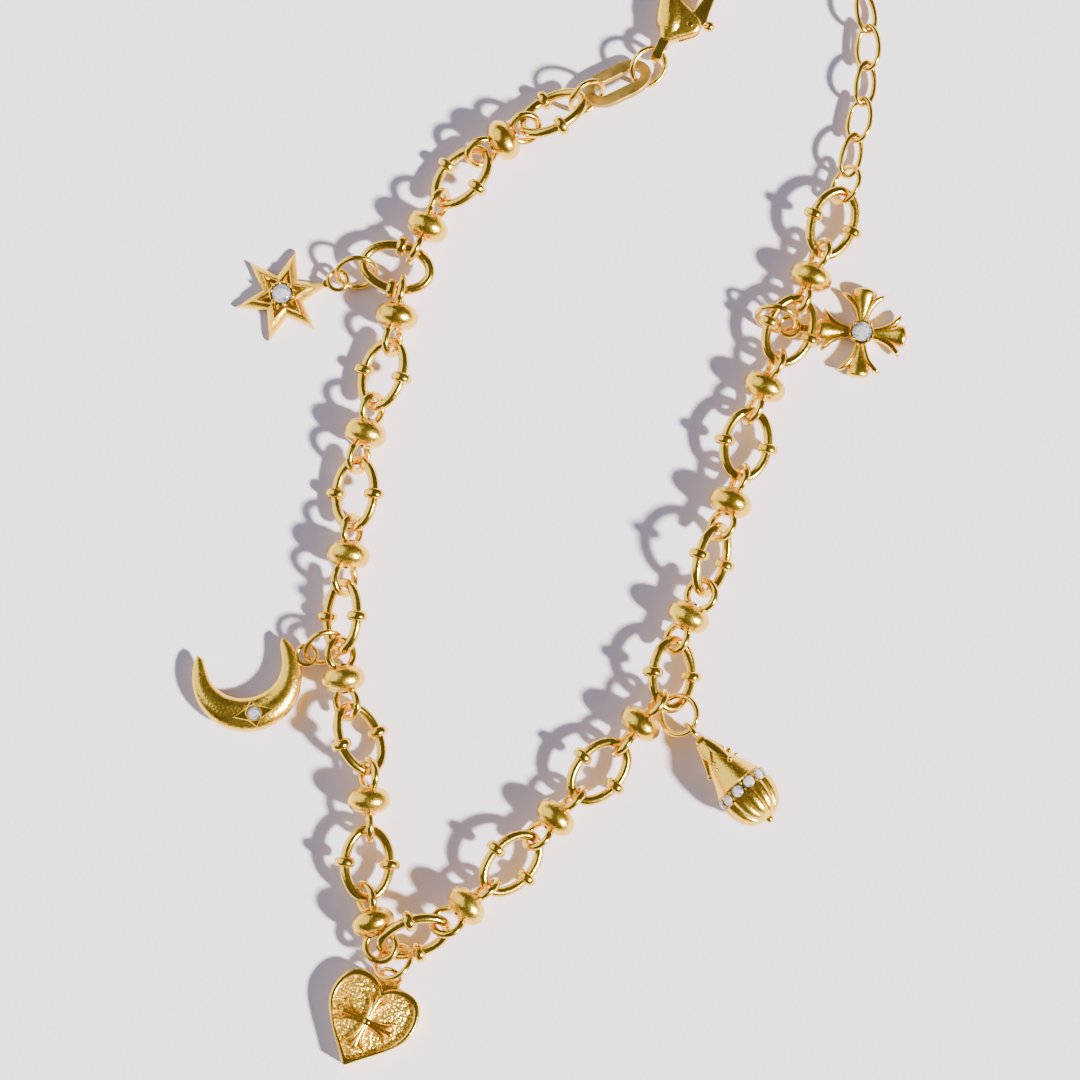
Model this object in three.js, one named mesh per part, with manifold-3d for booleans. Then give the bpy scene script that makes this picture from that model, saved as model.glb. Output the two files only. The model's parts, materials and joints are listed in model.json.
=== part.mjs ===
// A charm bracelet lying closed on a flat surface. Millimetres, +Z up.
// Oval wire links with two collars each alternate with flattened beads that carry a wire eye
// on both ends. A lobster clasp hooks into the last link of a fine extender chain, and five
// charms lie beside the chain on jump rings.
import * as THREE from 'three';
import { mergeVertices } from 'three/addons/utils/BufferGeometryUtils.js';
import Module from 'manifold-3d';

const wasm = await Module();
wasm.setup();

// Clearances
const HOOK_GAP = 0.17;
const SEAT_GAP = 0.06;
const HINGE_GAP = 0.08;

// Oval link
const LINK_LENGTH = 6.9;
const LINK_WIDTH = 4.85;
const LINK_WIRE = 0.85;
const COLLAR_DIAMETER = 1.85;
const COLLAR_THICKNESS = 0.9;

// Bead with its two wire eyes
const BEAD_DIAMETER = 3.85;
const BEAD_THICKNESS = 2.45;
const EYE_WIRE = 0.6;
const EYE_WIDTH = 3.3;
const EYE_REACH = 2.6;
const EYE_SINK = 0.35;

// Jump rings
const RING_DIAMETER = 3.95;
const RING_WIRE = 0.5;
const CHARM_EYE_DIAMETER = 2.15;
const CHARM_EYE_WIRE = 0.42;

// Plate link
const TAG_LENGTH = 6.4;
const TAG_WIDTH = 3.7;
const TAG_BAND = 1.0;
const TAG_THICKNESS = 0.55;

// Lobster clasp
const CLASP_LENGTH = 10.6;
const CLASP_WIDTH = 5.2;
const CLASP_BODY_WIDTH = 2.5;
const CLASP_BODY_HEIGHT = 2.5;
const CLASP_HOOK_WIDTH = 0.95;
const CLASP_HOOK_HEIGHT = 1.0;
const TAIL_EYE_LENGTH = 2.6;
const TAIL_EYE_HEIGHT = 2.45;
const TAIL_STRAP_WIDTH = 0.6;
const TAIL_STRAP_THICKNESS = 0.38;
const LEVER_THICKNESS = 0.9;
const PIVOT_DIAMETER = 0.6;
const NUB_DIAMETER = 1.0;

// Extender chain
const EXTENDER_LINKS = 10;
const EXTENDER_LENGTH = 4.3;
const EXTENDER_WIDTH = 2.6;
const EXTENDER_WIRE = 0.48;
const EXTENDER_WELD = 0.1;

// Star charm
const STAR_RADIUS = 4.3;
const STAR_NOTCH_RADIUS = 1.95;
const STAR_EDGE = 0.55;
const STAR_HEIGHT = 1.45;
const STAR_STONE_DIAMETER = 1.7;

// Moon charm
const MOON_RADIUS = 4.9;
const MOON_HOLLOW_RADIUS = 4.0;
const MOON_WIDTH = 3.1;
const MOON_HEIGHT = 2.3;
const MOON_STONE_DIAMETER = 1.15;
const MOON_STAR_LENGTH = 3.8;
const MOON_STAR_WIDTH = 2.5;

// Heart charm
const HEART_WIDTH = 8.2;
const HEART_DEPTH = 7.45;
const HEART_LOBE = 0.95;
const HEART_THICKNESS = 1.9;
const HEART_RIM = 0.55;
const HEART_RECESS = 0.5;
const HEART_CROSS_WIDTH = 4.4;
const HEART_NECK_WIDTH = 2.1;
const HEART_NECK_LENGTH = 1.3;
const HEART_EYE_HEIGHT = 1.1;

// Bud drop charm
const DROP_LENGTH = 9.5;
const DROP_DIAMETER = 5.1;
const DROP_CONE_LENGTH = 5.1;
const DROP_BAND_WIDTH = 1.15;
const DROP_LOBES = 10;
const DROP_STONES = 11;
const DROP_STONE_DIAMETER = 1.15;
const DROP_LEAVES = 6;

// Cross charm
const CROSS_REACH = 4.1;
const CROSS_END_WIDTH = 4.0;
const CROSS_THICKNESS = 1.5;
const CROSS_STEM_LENGTH = 1.5;
const CROSS_STEM_WIDTH = 0.75;
const CROSS_STONE_DIAMETER = 1.75;

// Where the lowest link lies, its heading above +X and its roll, in degrees.
const LOWEST_LINK = { x: -11.1, y: -35.15, heading: 17, roll: 45, exit: 14 };

// The chain's route, upwards from the lowest link on either side. Headings point away from it.
// Rolls turn a link or an eye about the chain, 0 lying flat. Slack is how far a bead has slid
// back from the taut chain. A link hooked off its end gives the angles round its oval.
const LEFT_STRAND = [
  { bead: 8, heading: 108, slack: 0.35, near: -8, far: -60 },
  { link: 8, heading: 87, roll: 10 },
  { bead: 7, heading: 91, slack: 0.06, near: -85, far: -60 },
  { link: 7, heading: 112, roll: 33, entry: 168 },
  { bead: 6, heading: 97, slack: 0.12, near: -45, far: 35 },
  { link: 6, heading: 87, roll: -46 },
  { bead: 5, heading: 82, slack: 0.1, near: 50, far: 60 },
  { link: 5, heading: 86, roll: -30 },
  { bead: 4, heading: 74, slack: 0.12, near: 58, far: 54 },
  { link: 4, heading: 74, roll: -28 },
  { bead: 3, heading: 80, slack: 0.27, near: 65, far: -88 },
  { link: 3, heading: -13, roll: 0, entry: -73, exit: 66 },
  { bead: 2, heading: 63, slack: 0.15, near: -85, far: 68 },
  { link: 2, heading: 50, roll: -26 },
  { bead: 1, heading: 29, slack: 0.6, near: 48, far: 40 },
  { link: 1, heading: 29, roll: -38 },
];
const RIGHT_STRAND = [
  { bead: 9, heading: 39, slack: 0.16, near: -30, far: -75 },
  { link: 10, heading: 47, roll: 24 },
  { bead: 10, heading: 45, slack: 0.04, near: -52, far: -75 },
  { link: 11, heading: 48, roll: 15 },
  { bead: 11, heading: 50, slack: 0.06, near: -78, far: -75 },
  { link: 12, heading: 85, roll: 30, entry: 146 },
  { bead: 12, heading: 60, slack: 0.17, near: -50, far: -25 },
  { link: 13, heading: 74, roll: 52 },
  { bead: 13, heading: 69, slack: 0.2, near: -45, far: -70 },
  { link: 14, heading: 79, roll: 12 },
  { bead: 14, heading: 64, slack: 0.14, near: -70, far: -72 },
  { link: 15, heading: 68, roll: 12 },
  { bead: 15, heading: 68, slack: 0.4, near: -70, far: -64 },
  { link: 16, heading: 68, roll: 21 },
];

// Where each jump ring goes: the piece and the angle round it that it hooks, its heading from
// there, its roll, the height that its far side comes down or up to, and its slack.
const CLASP_SIDE = {
  tagRing: { heading: 12, roll: 52, slack: 0.3 },
  tag: { heading: 26, roll: -24, height: 1.45 },
  claspRing: { heading: 46, roll: 42, slack: 0.3 },
  clasp: { heading: 64, height: 1.4 },
};
const EXTENDER_SIDE = {
  ring: { heading: 85, roll: -50, slack: 0.1 },
  heading: 74,
  roll: 38,
  height: 1.3,
  arrival: 205,
};
const STAR_PLACE = {
  on: 'link_03', angle: 200, heading: 208, roll: -46, charm: 194, height: 1.15, slack: 0.03,
};
const MOON_PLACE = {
  on: 'link_06', angle: 143, heading: 206, roll: -48, charm: 200, height: 1.5, slack: 0.2,
};
const HEART_PLACE = {
  on: 'link_09', angle: 222, heading: 275, roll: 22, charm: 241.5, slack: 0.05,
};
const DROP_PLACE = {
  on: 'link_12', angle: 192, heading: 308, roll: 20, charm: 311, height: 2.2, slack: 0.05,
};
const CROSS_PLACE = {
  on: 'link_15', angle: 73, heading: 303, roll: 40, charm: 355, height: 0.97, slack: 0.12,
};

// Mesh fineness
const WIRE_SIDES = 5;
const LINK_STEPS = 10;
const EYE_STEPS = 8;
const RING_STEPS = 12;
const BEAD_SIDES = 10;
const COLLAR_SIDES = 8;
const STONE_SIDES = 8;
const SIMPLIFIED_BY = 0.01;

const GOLD = { color: 0xd9a441, roughness: 0.25, metalness: 1 };
const BRUSHED_GOLD = { color: 0xb98a3c, roughness: 0.5, metalness: 1 };
const STONE = { color: 0xe6ebf7, roughness: 0.05, metalness: 0 };

const rad = THREE.MathUtils.degToRad;
const UP = new THREE.Vector3(0, 0, 1);

// Solids: closed meshes joined and cut as one body

function solid(geometry) {
  const bare = geometry.index ? geometry.toNonIndexed() : geometry.clone();
  bare.deleteAttribute('normal');
  bare.deleteAttribute('uv');
  const merged = mergeVertices(bare, 1e-4);
  return new wasm.Manifold(new wasm.Mesh({
    numProp: 3,
    vertProperties: new Float32Array(merged.attributes.position.array),
    triVerts: new Uint32Array(merged.index.array),
  }));
}

function join(...geometries) {
  return geometryOf(geometries.map(solid).reduce((whole, part) => whole.add(part)));
}

function cut(geometry, ...tools) {
  return geometryOf(tools.map(solid).reduce((whole, tool) => whole.subtract(tool), solid(geometry)));
}

function geometryOf(manifold) {
  const mesh = manifold.simplify(SIMPLIFIED_BY).getMesh();
  const geometry = new THREE.BufferGeometry();
  geometry.setAttribute('position', new THREE.BufferAttribute(mesh.vertProperties, 3));
  geometry.setIndex(new THREE.BufferAttribute(mesh.triVerts, 1));
  geometry.computeVertexNormals();
  return geometry;
}

// A closed mesh from a grid of rings, each a closed outline of points, capped at both ends.
function loft(rings) {
  const sides = rings[0].length;
  const centre = (ring) => ring
    .reduce((sum, p) => sum.add(p), new THREE.Vector3())
    .divideScalar(sides);
  const points = rings.flat();
  const first = points.push(centre(rings[0])) - 1;
  const last = points.push(centre(rings[rings.length - 1])) - 1;
  const faces = [];
  for (let s = 0; s < sides; s++) {
    const next = (s + 1) % sides;
    faces.push(first, next, s);
    for (let r = 0; r + 1 < rings.length; r++) {
      const a = r * sides + s;
      const b = r * sides + next;
      faces.push(a, b, b + sides, a, b + sides, a + sides);
    }
    const end = (rings.length - 1) * sides;
    faces.push(last, end + s, end + next);
  }
  const geometry = new THREE.BufferGeometry().setFromPoints(points);
  geometry.setIndex(faces);
  geometry.computeVertexNormals();
  return geometry;
}

// Wire loops lie in the XY plane, their long axis along X.

class Oval extends THREE.Curve {
  constructor(halfLength, halfWidth, swell = 0) {
    super();
    Object.assign(this, { halfLength, halfWidth, swell });
  }

  getPoint(t, target = new THREE.Vector3()) {
    const angle = 2 * Math.PI * t;
    const width = this.halfWidth * (1 + this.swell * Math.cos(angle));
    return target.set(this.halfLength * Math.cos(angle), width * Math.sin(angle), 0);
  }
}

function wireOval(length, width, wire, steps, swell = 0) {
  const path = new Oval((length - wire) / 2, (width - wire) / 2, swell);
  return new THREE.TubeGeometry(path, steps, wire / 2, WIRE_SIDES, true);
}

function wireRing(diameter, wire, steps = RING_STEPS) {
  return new THREE.TorusGeometry((diameter - wire) / 2, wire / 2, WIRE_SIDES, steps);
}

// A turned piece about the X axis, from pairs of length and radius that start and end at 0.
function turned(profile, sides) {
  const points = profile.map(([along, radius]) => new THREE.Vector2(radius, along));
  return new THREE.LatheGeometry(points, sides).rotateZ(-Math.PI / 2);
}

function collar() {
  const half = COLLAR_THICKNESS / 2;
  const radius = COLLAR_DIAMETER / 2;
  return turned([[-half, 0], [-half, radius], [half, radius], [half, 0]], COLLAR_SIDES);
}

function linkGeometry() {
  const reach = (LINK_WIDTH - LINK_WIRE) / 2;
  return join(
    wireOval(LINK_LENGTH, LINK_WIDTH, LINK_WIRE, LINK_STEPS),
    collar().translate(0, reach, 0),
    collar().translate(0, -reach, 0),
  );
}

const EYE_LENGTH = EYE_REACH + EYE_SINK + EYE_WIRE / 2;
const EYE_CENTRE = BEAD_THICKNESS / 2 + EYE_REACH - EYE_LENGTH / 2;
const EYE_END = BEAD_THICKNESS / 2 + EYE_REACH - EYE_WIRE / 2;

function beadGeometry(near, far) {
  const half = BEAD_THICKNESS / 2;
  const rows = 4;
  const profile = Array.from({ length: rows + 1 }, (_, row) => {
    const angle = Math.PI * row / rows;
    return [-half * Math.cos(angle), BEAD_DIAMETER / 2 * Math.sin(angle) ** 0.85];
  });
  const loop = wireOval(EYE_LENGTH, EYE_WIDTH, EYE_WIRE, EYE_STEPS).translate(EYE_CENTRE, 0, 0);
  return join(
    turned(profile, BEAD_SIDES),
    loop.clone().rotateX(rad(far)),
    loop.clone().rotateZ(Math.PI).rotateX(rad(near)),
  );
}

function tagGeometry() {
  const outline = roundedSlot(TAG_LENGTH, TAG_WIDTH, 1.2);
  outline.holes.push(roundedSlot(TAG_LENGTH - 2 * TAG_BAND, TAG_WIDTH - 2 * TAG_BAND, 1));
  return extruded(outline, TAG_THICKNESS);
}

// An oval outline whose ends are elliptical, stretched along X by the given roundness.
function roundedSlot(length, width, roundness) {
  const end = width / 2 * roundness;
  const straight = length / 2 - end;
  const shape = new THREE.Shape();
  shape.moveTo(straight, -width / 2);
  shape.absellipse(straight, 0, end, width / 2, -Math.PI / 2, Math.PI / 2);
  shape.absellipse(-straight, 0, end, width / 2, Math.PI / 2, 1.5 * Math.PI);
  shape.closePath();
  return shape;
}

function extruded(shape, depth, curveSegments = 6) {
  return new THREE.ExtrudeGeometry(shape, { depth, bevelEnabled: false, curveSegments })
    .translate(0, 0, -depth / 2);
}

// Lobster clasp: X runs from the middle of its tail eye to the hook's far end, and the lever
// closes the side at -Y.

const CLASP_BAY_END = CLASP_LENGTH - CLASP_HOOK_WIDTH;
const PIVOT = { x: CLASP_LENGTH * 0.2925, y: -CLASP_WIDTH / 2 + 1.15 };
const HOOK_TIP = { x: CLASP_LENGTH - 2.9, y: -CLASP_WIDTH / 2 + 0.45 };

function claspPath() {
  const side = CLASP_WIDTH / 2 - CLASP_HOOK_WIDTH / 2;
  const far = CLASP_LENGTH - CLASP_HOOK_WIDTH / 2;
  return [
    { x: CLASP_LENGTH * 0.085, y: 0, width: CLASP_BODY_WIDTH * 0.36, height: CLASP_BODY_HEIGHT * 0.5 },
    { x: CLASP_LENGTH * 0.2075, y: 0.05, width: CLASP_BODY_WIDTH, height: CLASP_BODY_HEIGHT },
    { x: CLASP_LENGTH * 0.349, y: side * 0.35, width: CLASP_BODY_WIDTH, height: CLASP_BODY_HEIGHT },
    { x: CLASP_LENGTH * 0.5, y: side * 0.8, width: CLASP_BODY_WIDTH * 0.55, height: CLASP_BODY_HEIGHT * 0.8 },
    { x: CLASP_LENGTH * 0.66, y: side, width: CLASP_HOOK_WIDTH * 1.1, height: CLASP_HOOK_HEIGHT * 1.5 },
    { x: far - 1.6, y: side * 0.9, width: CLASP_HOOK_WIDTH, height: CLASP_HOOK_HEIGHT * 1.1 },
    { x: far - 0.45, y: side * 0.48, width: CLASP_HOOK_WIDTH, height: CLASP_HOOK_HEIGHT },
    { x: far, y: -side * 0.1, width: CLASP_HOOK_WIDTH, height: CLASP_HOOK_HEIGHT },
    { x: far - 0.5, y: -side * 0.62, width: CLASP_HOOK_WIDTH, height: CLASP_HOOK_HEIGHT },
    { x: far - 1.5, y: -side * 0.93, width: CLASP_HOOK_WIDTH, height: CLASP_HOOK_HEIGHT },
    { x: HOOK_TIP.x, y: -side, width: CLASP_HOOK_WIDTH * 0.85, height: CLASP_HOOK_HEIGHT },
  ];
}

// A bar lofted through sections that stand square to its path in the XY plane.
function lofted(path, sides) {
  const rings = path.map((section, index) => {
    const before = path[Math.max(index - 1, 0)];
    const after = path[Math.min(index + 1, path.length - 1)];
    const along = new THREE.Vector3(after.x - before.x, after.y - before.y, 0).normalize();
    const across = new THREE.Vector3(-along.y, along.x, 0);
    return Array.from({ length: sides }, (_, side) => {
      const angle = 2 * Math.PI * (side + 0.5) / sides;
      return new THREE.Vector3(section.x, section.y, 0)
        .addScaledVector(across, section.width / 2 * Math.cos(angle))
        .addScaledVector(UP, section.height / 2 * Math.sin(angle));
    });
  });
  return loft(rings);
}

function pivotCylinder(diameter, height) {
  return new THREE.CylinderGeometry(diameter / 2, diameter / 2, height, 10)
    .rotateX(Math.PI / 2)
    .translate(PIVOT.x, PIVOT.y, 0);
}

function claspBodyGeometry() {
  const strap = roundedSlot(TAIL_EYE_LENGTH, TAIL_EYE_HEIGHT, 1);
  strap.holes.push(roundedSlot(
    TAIL_EYE_LENGTH - 2 * TAIL_STRAP_THICKNESS,
    TAIL_EYE_HEIGHT - 2 * TAIL_STRAP_THICKNESS,
    1,
  ));
  const tail = extruded(strap, TAIL_STRAP_WIDTH, 5).rotateX(Math.PI / 2);
  const cheek = pivotCylinder(2.1, CLASP_BODY_HEIGHT * 0.8);
  const slot = new THREE.BoxGeometry(3.4, 3, LEVER_THICKNESS + 2 * HINGE_GAP)
    .translate(PIVOT.x + 0.5, PIVOT.y - 0.42, 0);
  const pin = pivotCylinder(PIVOT_DIAMETER, CLASP_BODY_HEIGHT * 0.7);
  return join(cut(join(lofted(claspPath(), 8), tail, cheek), slot), pin);
}

// The lever's arm runs from its round root on the pivot to the inside of the hook's tip.
function leverGeometry() {
  const tip = { x: HOOK_TIP.x - 0.12, y: HOOK_TIP.y + 0.05 };
  const arm = new THREE.Shape();
  arm.moveTo(PIVOT.x, PIVOT.y + 0.55);
  arm.lineTo(tip.x - 0.35, tip.y + 0.36);
  arm.lineTo(tip.x, tip.y + 0.1);
  arm.lineTo(tip.x, tip.y - 0.36);
  arm.quadraticCurveTo(PIVOT.x + 2, PIVOT.y - 0.9, PIVOT.x + 0.9, PIVOT.y - 1.25);
  arm.lineTo(PIVOT.x + 0.5, PIVOT.y - 1.25);
  arm.lineTo(PIVOT.x, PIVOT.y - 0.55);
  const root = new THREE.CylinderGeometry(0.62, 0.62, LEVER_THICKNESS, 12)
    .rotateX(Math.PI / 2)
    .translate(PIVOT.x, PIVOT.y, 0);
  const nub = new THREE.IcosahedronGeometry(NUB_DIAMETER / 2, 1)
    .translate(PIVOT.x + 0.72, PIVOT.y - 1.6, 0);
  const hole = pivotCylinder(PIVOT_DIAMETER + 2 * HINGE_GAP, LEVER_THICKNESS + 1);
  return cut(join(extruded(arm, LEVER_THICKNESS, 4), root, nub), hole);
}

// A round brilliant: table up, girdle at z = 0.
function stoneGeometry(diameter) {
  const radius = diameter / 2;
  const profile = [[0, -0.8], [0.97, -0.06], [1, 0.04], [0.58, 0.34], [0, 0.34]]
    .map(([across, height]) => new THREE.Vector2(radius * across, radius * height));
  return new THREE.LatheGeometry(profile, STONE_SIDES).rotateX(Math.PI / 2);
}

// The pocket that a stone of this size drops into, open upwards.
function seatGeometry(diameter) {
  const radius = diameter / 2;
  const profile = [[0, -0.8 * radius - SEAT_GAP], [radius + SEAT_GAP, -0.06 * radius - SEAT_GAP],
    [radius + SEAT_GAP, diameter], [0, diameter]]
    .map(([across, height]) => new THREE.Vector2(across, height));
  return new THREE.LatheGeometry(profile, STONE_SIDES).rotateX(Math.PI / 2);
}

// Short claws round a stone, standing just clear of its girdle.
function clawsGeometry(diameter, height, count, turn = 0) {
  const reach = diameter / 2 + SEAT_GAP + 0.13;
  const claws = Array.from({ length: count }, (_, claw) => {
    const angle = rad(turn + 360 * claw / count);
    return new THREE.OctahedronGeometry(0.25)
      .scale(1, 1, 1.3)
      .translate(reach * Math.cos(angle), reach * Math.sin(angle), height);
  });
  return claws;
}

// The upright post that a seat is cut into.
function stonePost(diameter, height) {
  const radius = diameter / 2 + 0.22;
  return new THREE.CylinderGeometry(radius, radius, height, 12)
    .rotateX(Math.PI / 2)
    .translate(0, 0, height / 2);
}

const CHARM_EYE_RADIUS = (CHARM_EYE_DIAMETER - CHARM_EYE_WIRE) / 2;
const CHARM_NECK_DIAMETER = 0.7;

// A level wire eye round the origin, with a short neck down to the charm that starts beyond it.
function charmEye(height, bottom) {
  const radius = CHARM_NECK_DIAMETER / 2;
  const neck = new THREE.CylinderGeometry(radius, radius, height - bottom, 8)
    .rotateX(Math.PI / 2)
    .translate(CHARM_EYE_RADIUS + CHARM_EYE_WIRE / 2, 0, (height + bottom) / 2);
  const eye = wireRing(CHARM_EYE_DIAMETER, CHARM_EYE_WIRE, EYE_STEPS + 2);
  return join(eye.translate(0, 0, height), neck);
}

// Star: a ridged six-pointed star with a smaller ridged star on it. Its eye is at the origin
// and the first point lies along +X behind it.

const STAR_RAYS = 6;
const STAR_CENTRE = STAR_RADIUS + CHARM_EYE_RADIUS;
const STAR_SEAT_HEIGHT = STAR_HEIGHT + 0.12;

function ridgedStar(rays, radius, notch, bottom, edge, top, turn = 0) {
  const corners = Array.from({ length: 2 * rays }, (_, corner) => {
    const reach = corner % 2 ? notch : radius;
    const angle = rad(turn) + Math.PI * corner / rays;
    return new THREE.Vector3(reach * Math.cos(angle), reach * Math.sin(angle), 0);
  });
  const raised = (height) => corners.map((p) => p.clone().setZ(height));
  const peak = corners.map((p) => p.clone().multiplyScalar(0.05).setZ(top));
  return loft([raised(bottom), raised(edge), peak]);
}

function starGeometry() {
  const body = join(
    ridgedStar(STAR_RAYS, STAR_RADIUS, STAR_NOTCH_RADIUS, 0, STAR_EDGE, STAR_HEIGHT),
    ridgedStar(STAR_RAYS, STAR_RADIUS / 2, STAR_NOTCH_RADIUS * 0.55, 0.5, 1.15, STAR_HEIGHT + 0.35),
    stonePost(STAR_STONE_DIAMETER, STAR_HEIGHT + 0.05),
    ...clawsGeometry(STAR_STONE_DIAMETER, STAR_SEAT_HEIGHT, 6, 30),
  );
  const seat = seatGeometry(STAR_STONE_DIAMETER).translate(0, 0, STAR_SEAT_HEIGHT);
  return join(
    cut(body, seat).rotateZ(Math.PI).translate(STAR_CENTRE, 0, 0),
    charmEye(STAR_PLACE.height, 0.2),
  );
}

// Moon: a puffed crescent between two circles. Its outer circle is centred on the origin and
// the middle of its bow lies along -Y.

const MOON_OFFSET = MOON_WIDTH - MOON_RADIUS + MOON_HOLLOW_RADIUS;
const MOON_TIP_HEIGHT = (MOON_RADIUS ** 2 - MOON_HOLLOW_RADIUS ** 2 + MOON_OFFSET ** 2)
  / (2 * MOON_OFFSET);
const MOON_BOW = MOON_RADIUS - MOON_WIDTH / 2;
const MOON_STONE_HEIGHT = MOON_HEIGHT + 0.02;
const MOON_EYE_ANGLE = 98;

function moonGeometry() {
  const tip = Math.sqrt(MOON_RADIUS ** 2 - MOON_TIP_HEIGHT ** 2);
  const outerSpan = Math.PI - Math.atan2(tip, MOON_TIP_HEIGHT);
  const hollowSpan = Math.PI - Math.atan2(tip, MOON_TIP_HEIGHT - MOON_OFFSET);
  const steps = 14;
  const sides = 8;
  const rings = Array.from({ length: steps + 1 }, (_, step) => {
    const share = Math.max(-0.985, Math.min(0.985, 2 * step / steps - 1));
    const outer = new THREE.Vector3(
      MOON_RADIUS * Math.sin(share * outerSpan),
      -MOON_RADIUS * Math.cos(share * outerSpan),
      MOON_HEIGHT / 2,
    );
    const hollow = new THREE.Vector3(
      MOON_HOLLOW_RADIUS * Math.sin(share * hollowSpan),
      MOON_OFFSET - MOON_HOLLOW_RADIUS * Math.cos(share * hollowSpan),
      MOON_HEIGHT / 2,
    );
    const middle = outer.clone().add(hollow).divideScalar(2);
    const half = outer.clone().sub(middle);
    const rise = MOON_HEIGHT * half.length() / MOON_WIDTH;
    return Array.from({ length: sides }, (_, side) => {
      const angle = -2 * Math.PI * side / sides;
      return middle.clone()
        .addScaledVector(half, Math.cos(angle))
        .addScaledVector(UP, rise * Math.sin(angle));
    });
  });
  const half = MOON_STAR_LENGTH / 2;
  const setting = ridgedStar(4, half, 0.62, MOON_HEIGHT / 2, MOON_HEIGHT + 0.02, MOON_HEIGHT + 0.2)
    .scale(1, MOON_STAR_WIDTH / MOON_STAR_LENGTH, 1)
    .translate(0, -MOON_BOW, 0);
  const bezel = new THREE.CylinderGeometry(0.8, 0.9, MOON_HEIGHT / 2, 10)
    .rotateX(Math.PI / 2)
    .translate(0, -MOON_BOW, MOON_HEIGHT * 0.76);
  const seat = seatGeometry(MOON_STONE_DIAMETER).translate(0, -MOON_BOW, MOON_STONE_HEIGHT);
  const eye = charmEye(MOON_PLACE.height, MOON_PLACE.height - CHARM_EYE_WIRE)
    .rotateZ(Math.PI)
    .translate(MOON_RADIUS + CHARM_EYE_RADIUS - 0.12, 0, 0)
    .rotateZ(rad(MOON_EYE_ANGLE - 90));
  return join(cut(join(loft(rings), setting, bezel), seat), eye);
}

// Heart: a raised rim and a raised cross on a sunk field. Its notch is at the origin, its tip
// lies along -X, and a neck at the notch carries a standing eye.

function heartOutline(inset) {
  const half = HEART_WIDTH / 2 - inset;
  const side = -HEART_DEPTH * 0.24;
  const lobe = HEART_LOBE - inset;
  const notch = -inset * 1.25;
  const tip = -HEART_DEPTH + inset * 1.45;
  const shape = new THREE.Shape();
  shape.moveTo(notch, 0);
  shape.bezierCurveTo(lobe * 0.75 + notch * 0.25, half * 0.12, lobe, half * 0.3, lobe, half * 0.52);
  shape.bezierCurveTo(lobe, half * 0.85, side / 4, half, side, half);
  shape.bezierCurveTo(-HEART_DEPTH * 0.5, half, -HEART_DEPTH * 0.72, half * 0.42, tip, 0);
  shape.bezierCurveTo(-HEART_DEPTH * 0.72, -half * 0.42, -HEART_DEPTH * 0.5, -half, side, -half);
  shape.bezierCurveTo(side / 4, -half, lobe, -half * 0.85, lobe, -half * 0.52);
  shape.bezierCurveTo(lobe, -half * 0.3, lobe * 0.75 + notch * 0.25, -half * 0.12, notch, 0);
  return shape;
}

const HEART_CROSS_CENTRE = -HEART_DEPTH * 0.42;
const HEART_EYE_TILT = 60;

function flaredArm(length, waist, end, thickness) {
  const arm = new THREE.Shape();
  arm.moveTo(0, -waist / 2);
  arm.quadraticCurveTo(length * 0.6, -waist / 2, length * 0.92, -end / 2);
  arm.quadraticCurveTo(length * 1.08, 0, length * 0.92, end / 2);
  arm.quadraticCurveTo(length * 0.6, waist / 2, 0, waist / 2);
  return extruded(arm, thickness, 3);
}

function heartGeometry() {
  const body = extruded(heartOutline(0), HEART_THICKNESS, 4).translate(0, 0, HEART_THICKNESS / 2);
  const field = extruded(heartOutline(HEART_RIM), HEART_RECESS * 2, 4).translate(0, 0, HEART_THICKNESS);
  const flare = HEART_CROSS_WIDTH * 0.36;
  const arms = [0, 1, 2, 3].map((arm) => (
    flaredArm(HEART_CROSS_WIDTH / 2, 0.5, flare, HEART_RECESS + 0.2)
      .rotateZ(arm * Math.PI / 2)
      .translate(HEART_CROSS_CENTRE, 0, HEART_THICKNESS - HEART_RECESS / 2)
  ));
  const neck = new THREE.BoxGeometry(HEART_NECK_LENGTH + 0.6, HEART_NECK_WIDTH, HEART_THICKNESS * 0.6)
    .translate(HEART_NECK_LENGTH / 2 - 0.3, 0, HEART_THICKNESS * 0.3);
  const eye = wireRing(CHARM_EYE_DIAMETER, CHARM_EYE_WIRE, 12)
    .translate(CHARM_EYE_RADIUS, 0, 0)
    .rotateY(rad(-HEART_EYE_TILT))
    .translate(HEART_NECK_LENGTH - 0.1, 0, HEART_EYE_HEIGHT);
  return join(cut(body, field), ...arms, neck, eye);
}

// Where the heart's standing eye is highest, as a place in the heart's own frame.
const HEART_EYE_TOP = {
  x: HEART_NECK_LENGTH - 0.1 + 2 * CHARM_EYE_RADIUS * Math.cos(rad(HEART_EYE_TILT)),
  z: HEART_EYE_HEIGHT + 2 * CHARM_EYE_RADIUS * Math.sin(rad(HEART_EYE_TILT)),
};

// Bud drop: a turned body about X. Its loop stands upright round the origin.

const DROP_NECK = CHARM_EYE_RADIUS + CHARM_EYE_WIRE / 2;
const DROP_RADIUS = DROP_DIAMETER / 2;
const DROP_BAND = DROP_NECK + DROP_CONE_LENGTH;
const DROP_BAND_RADIUS = DROP_RADIUS - 0.2;
const DROP_END = DROP_NECK + DROP_LENGTH;

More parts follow.
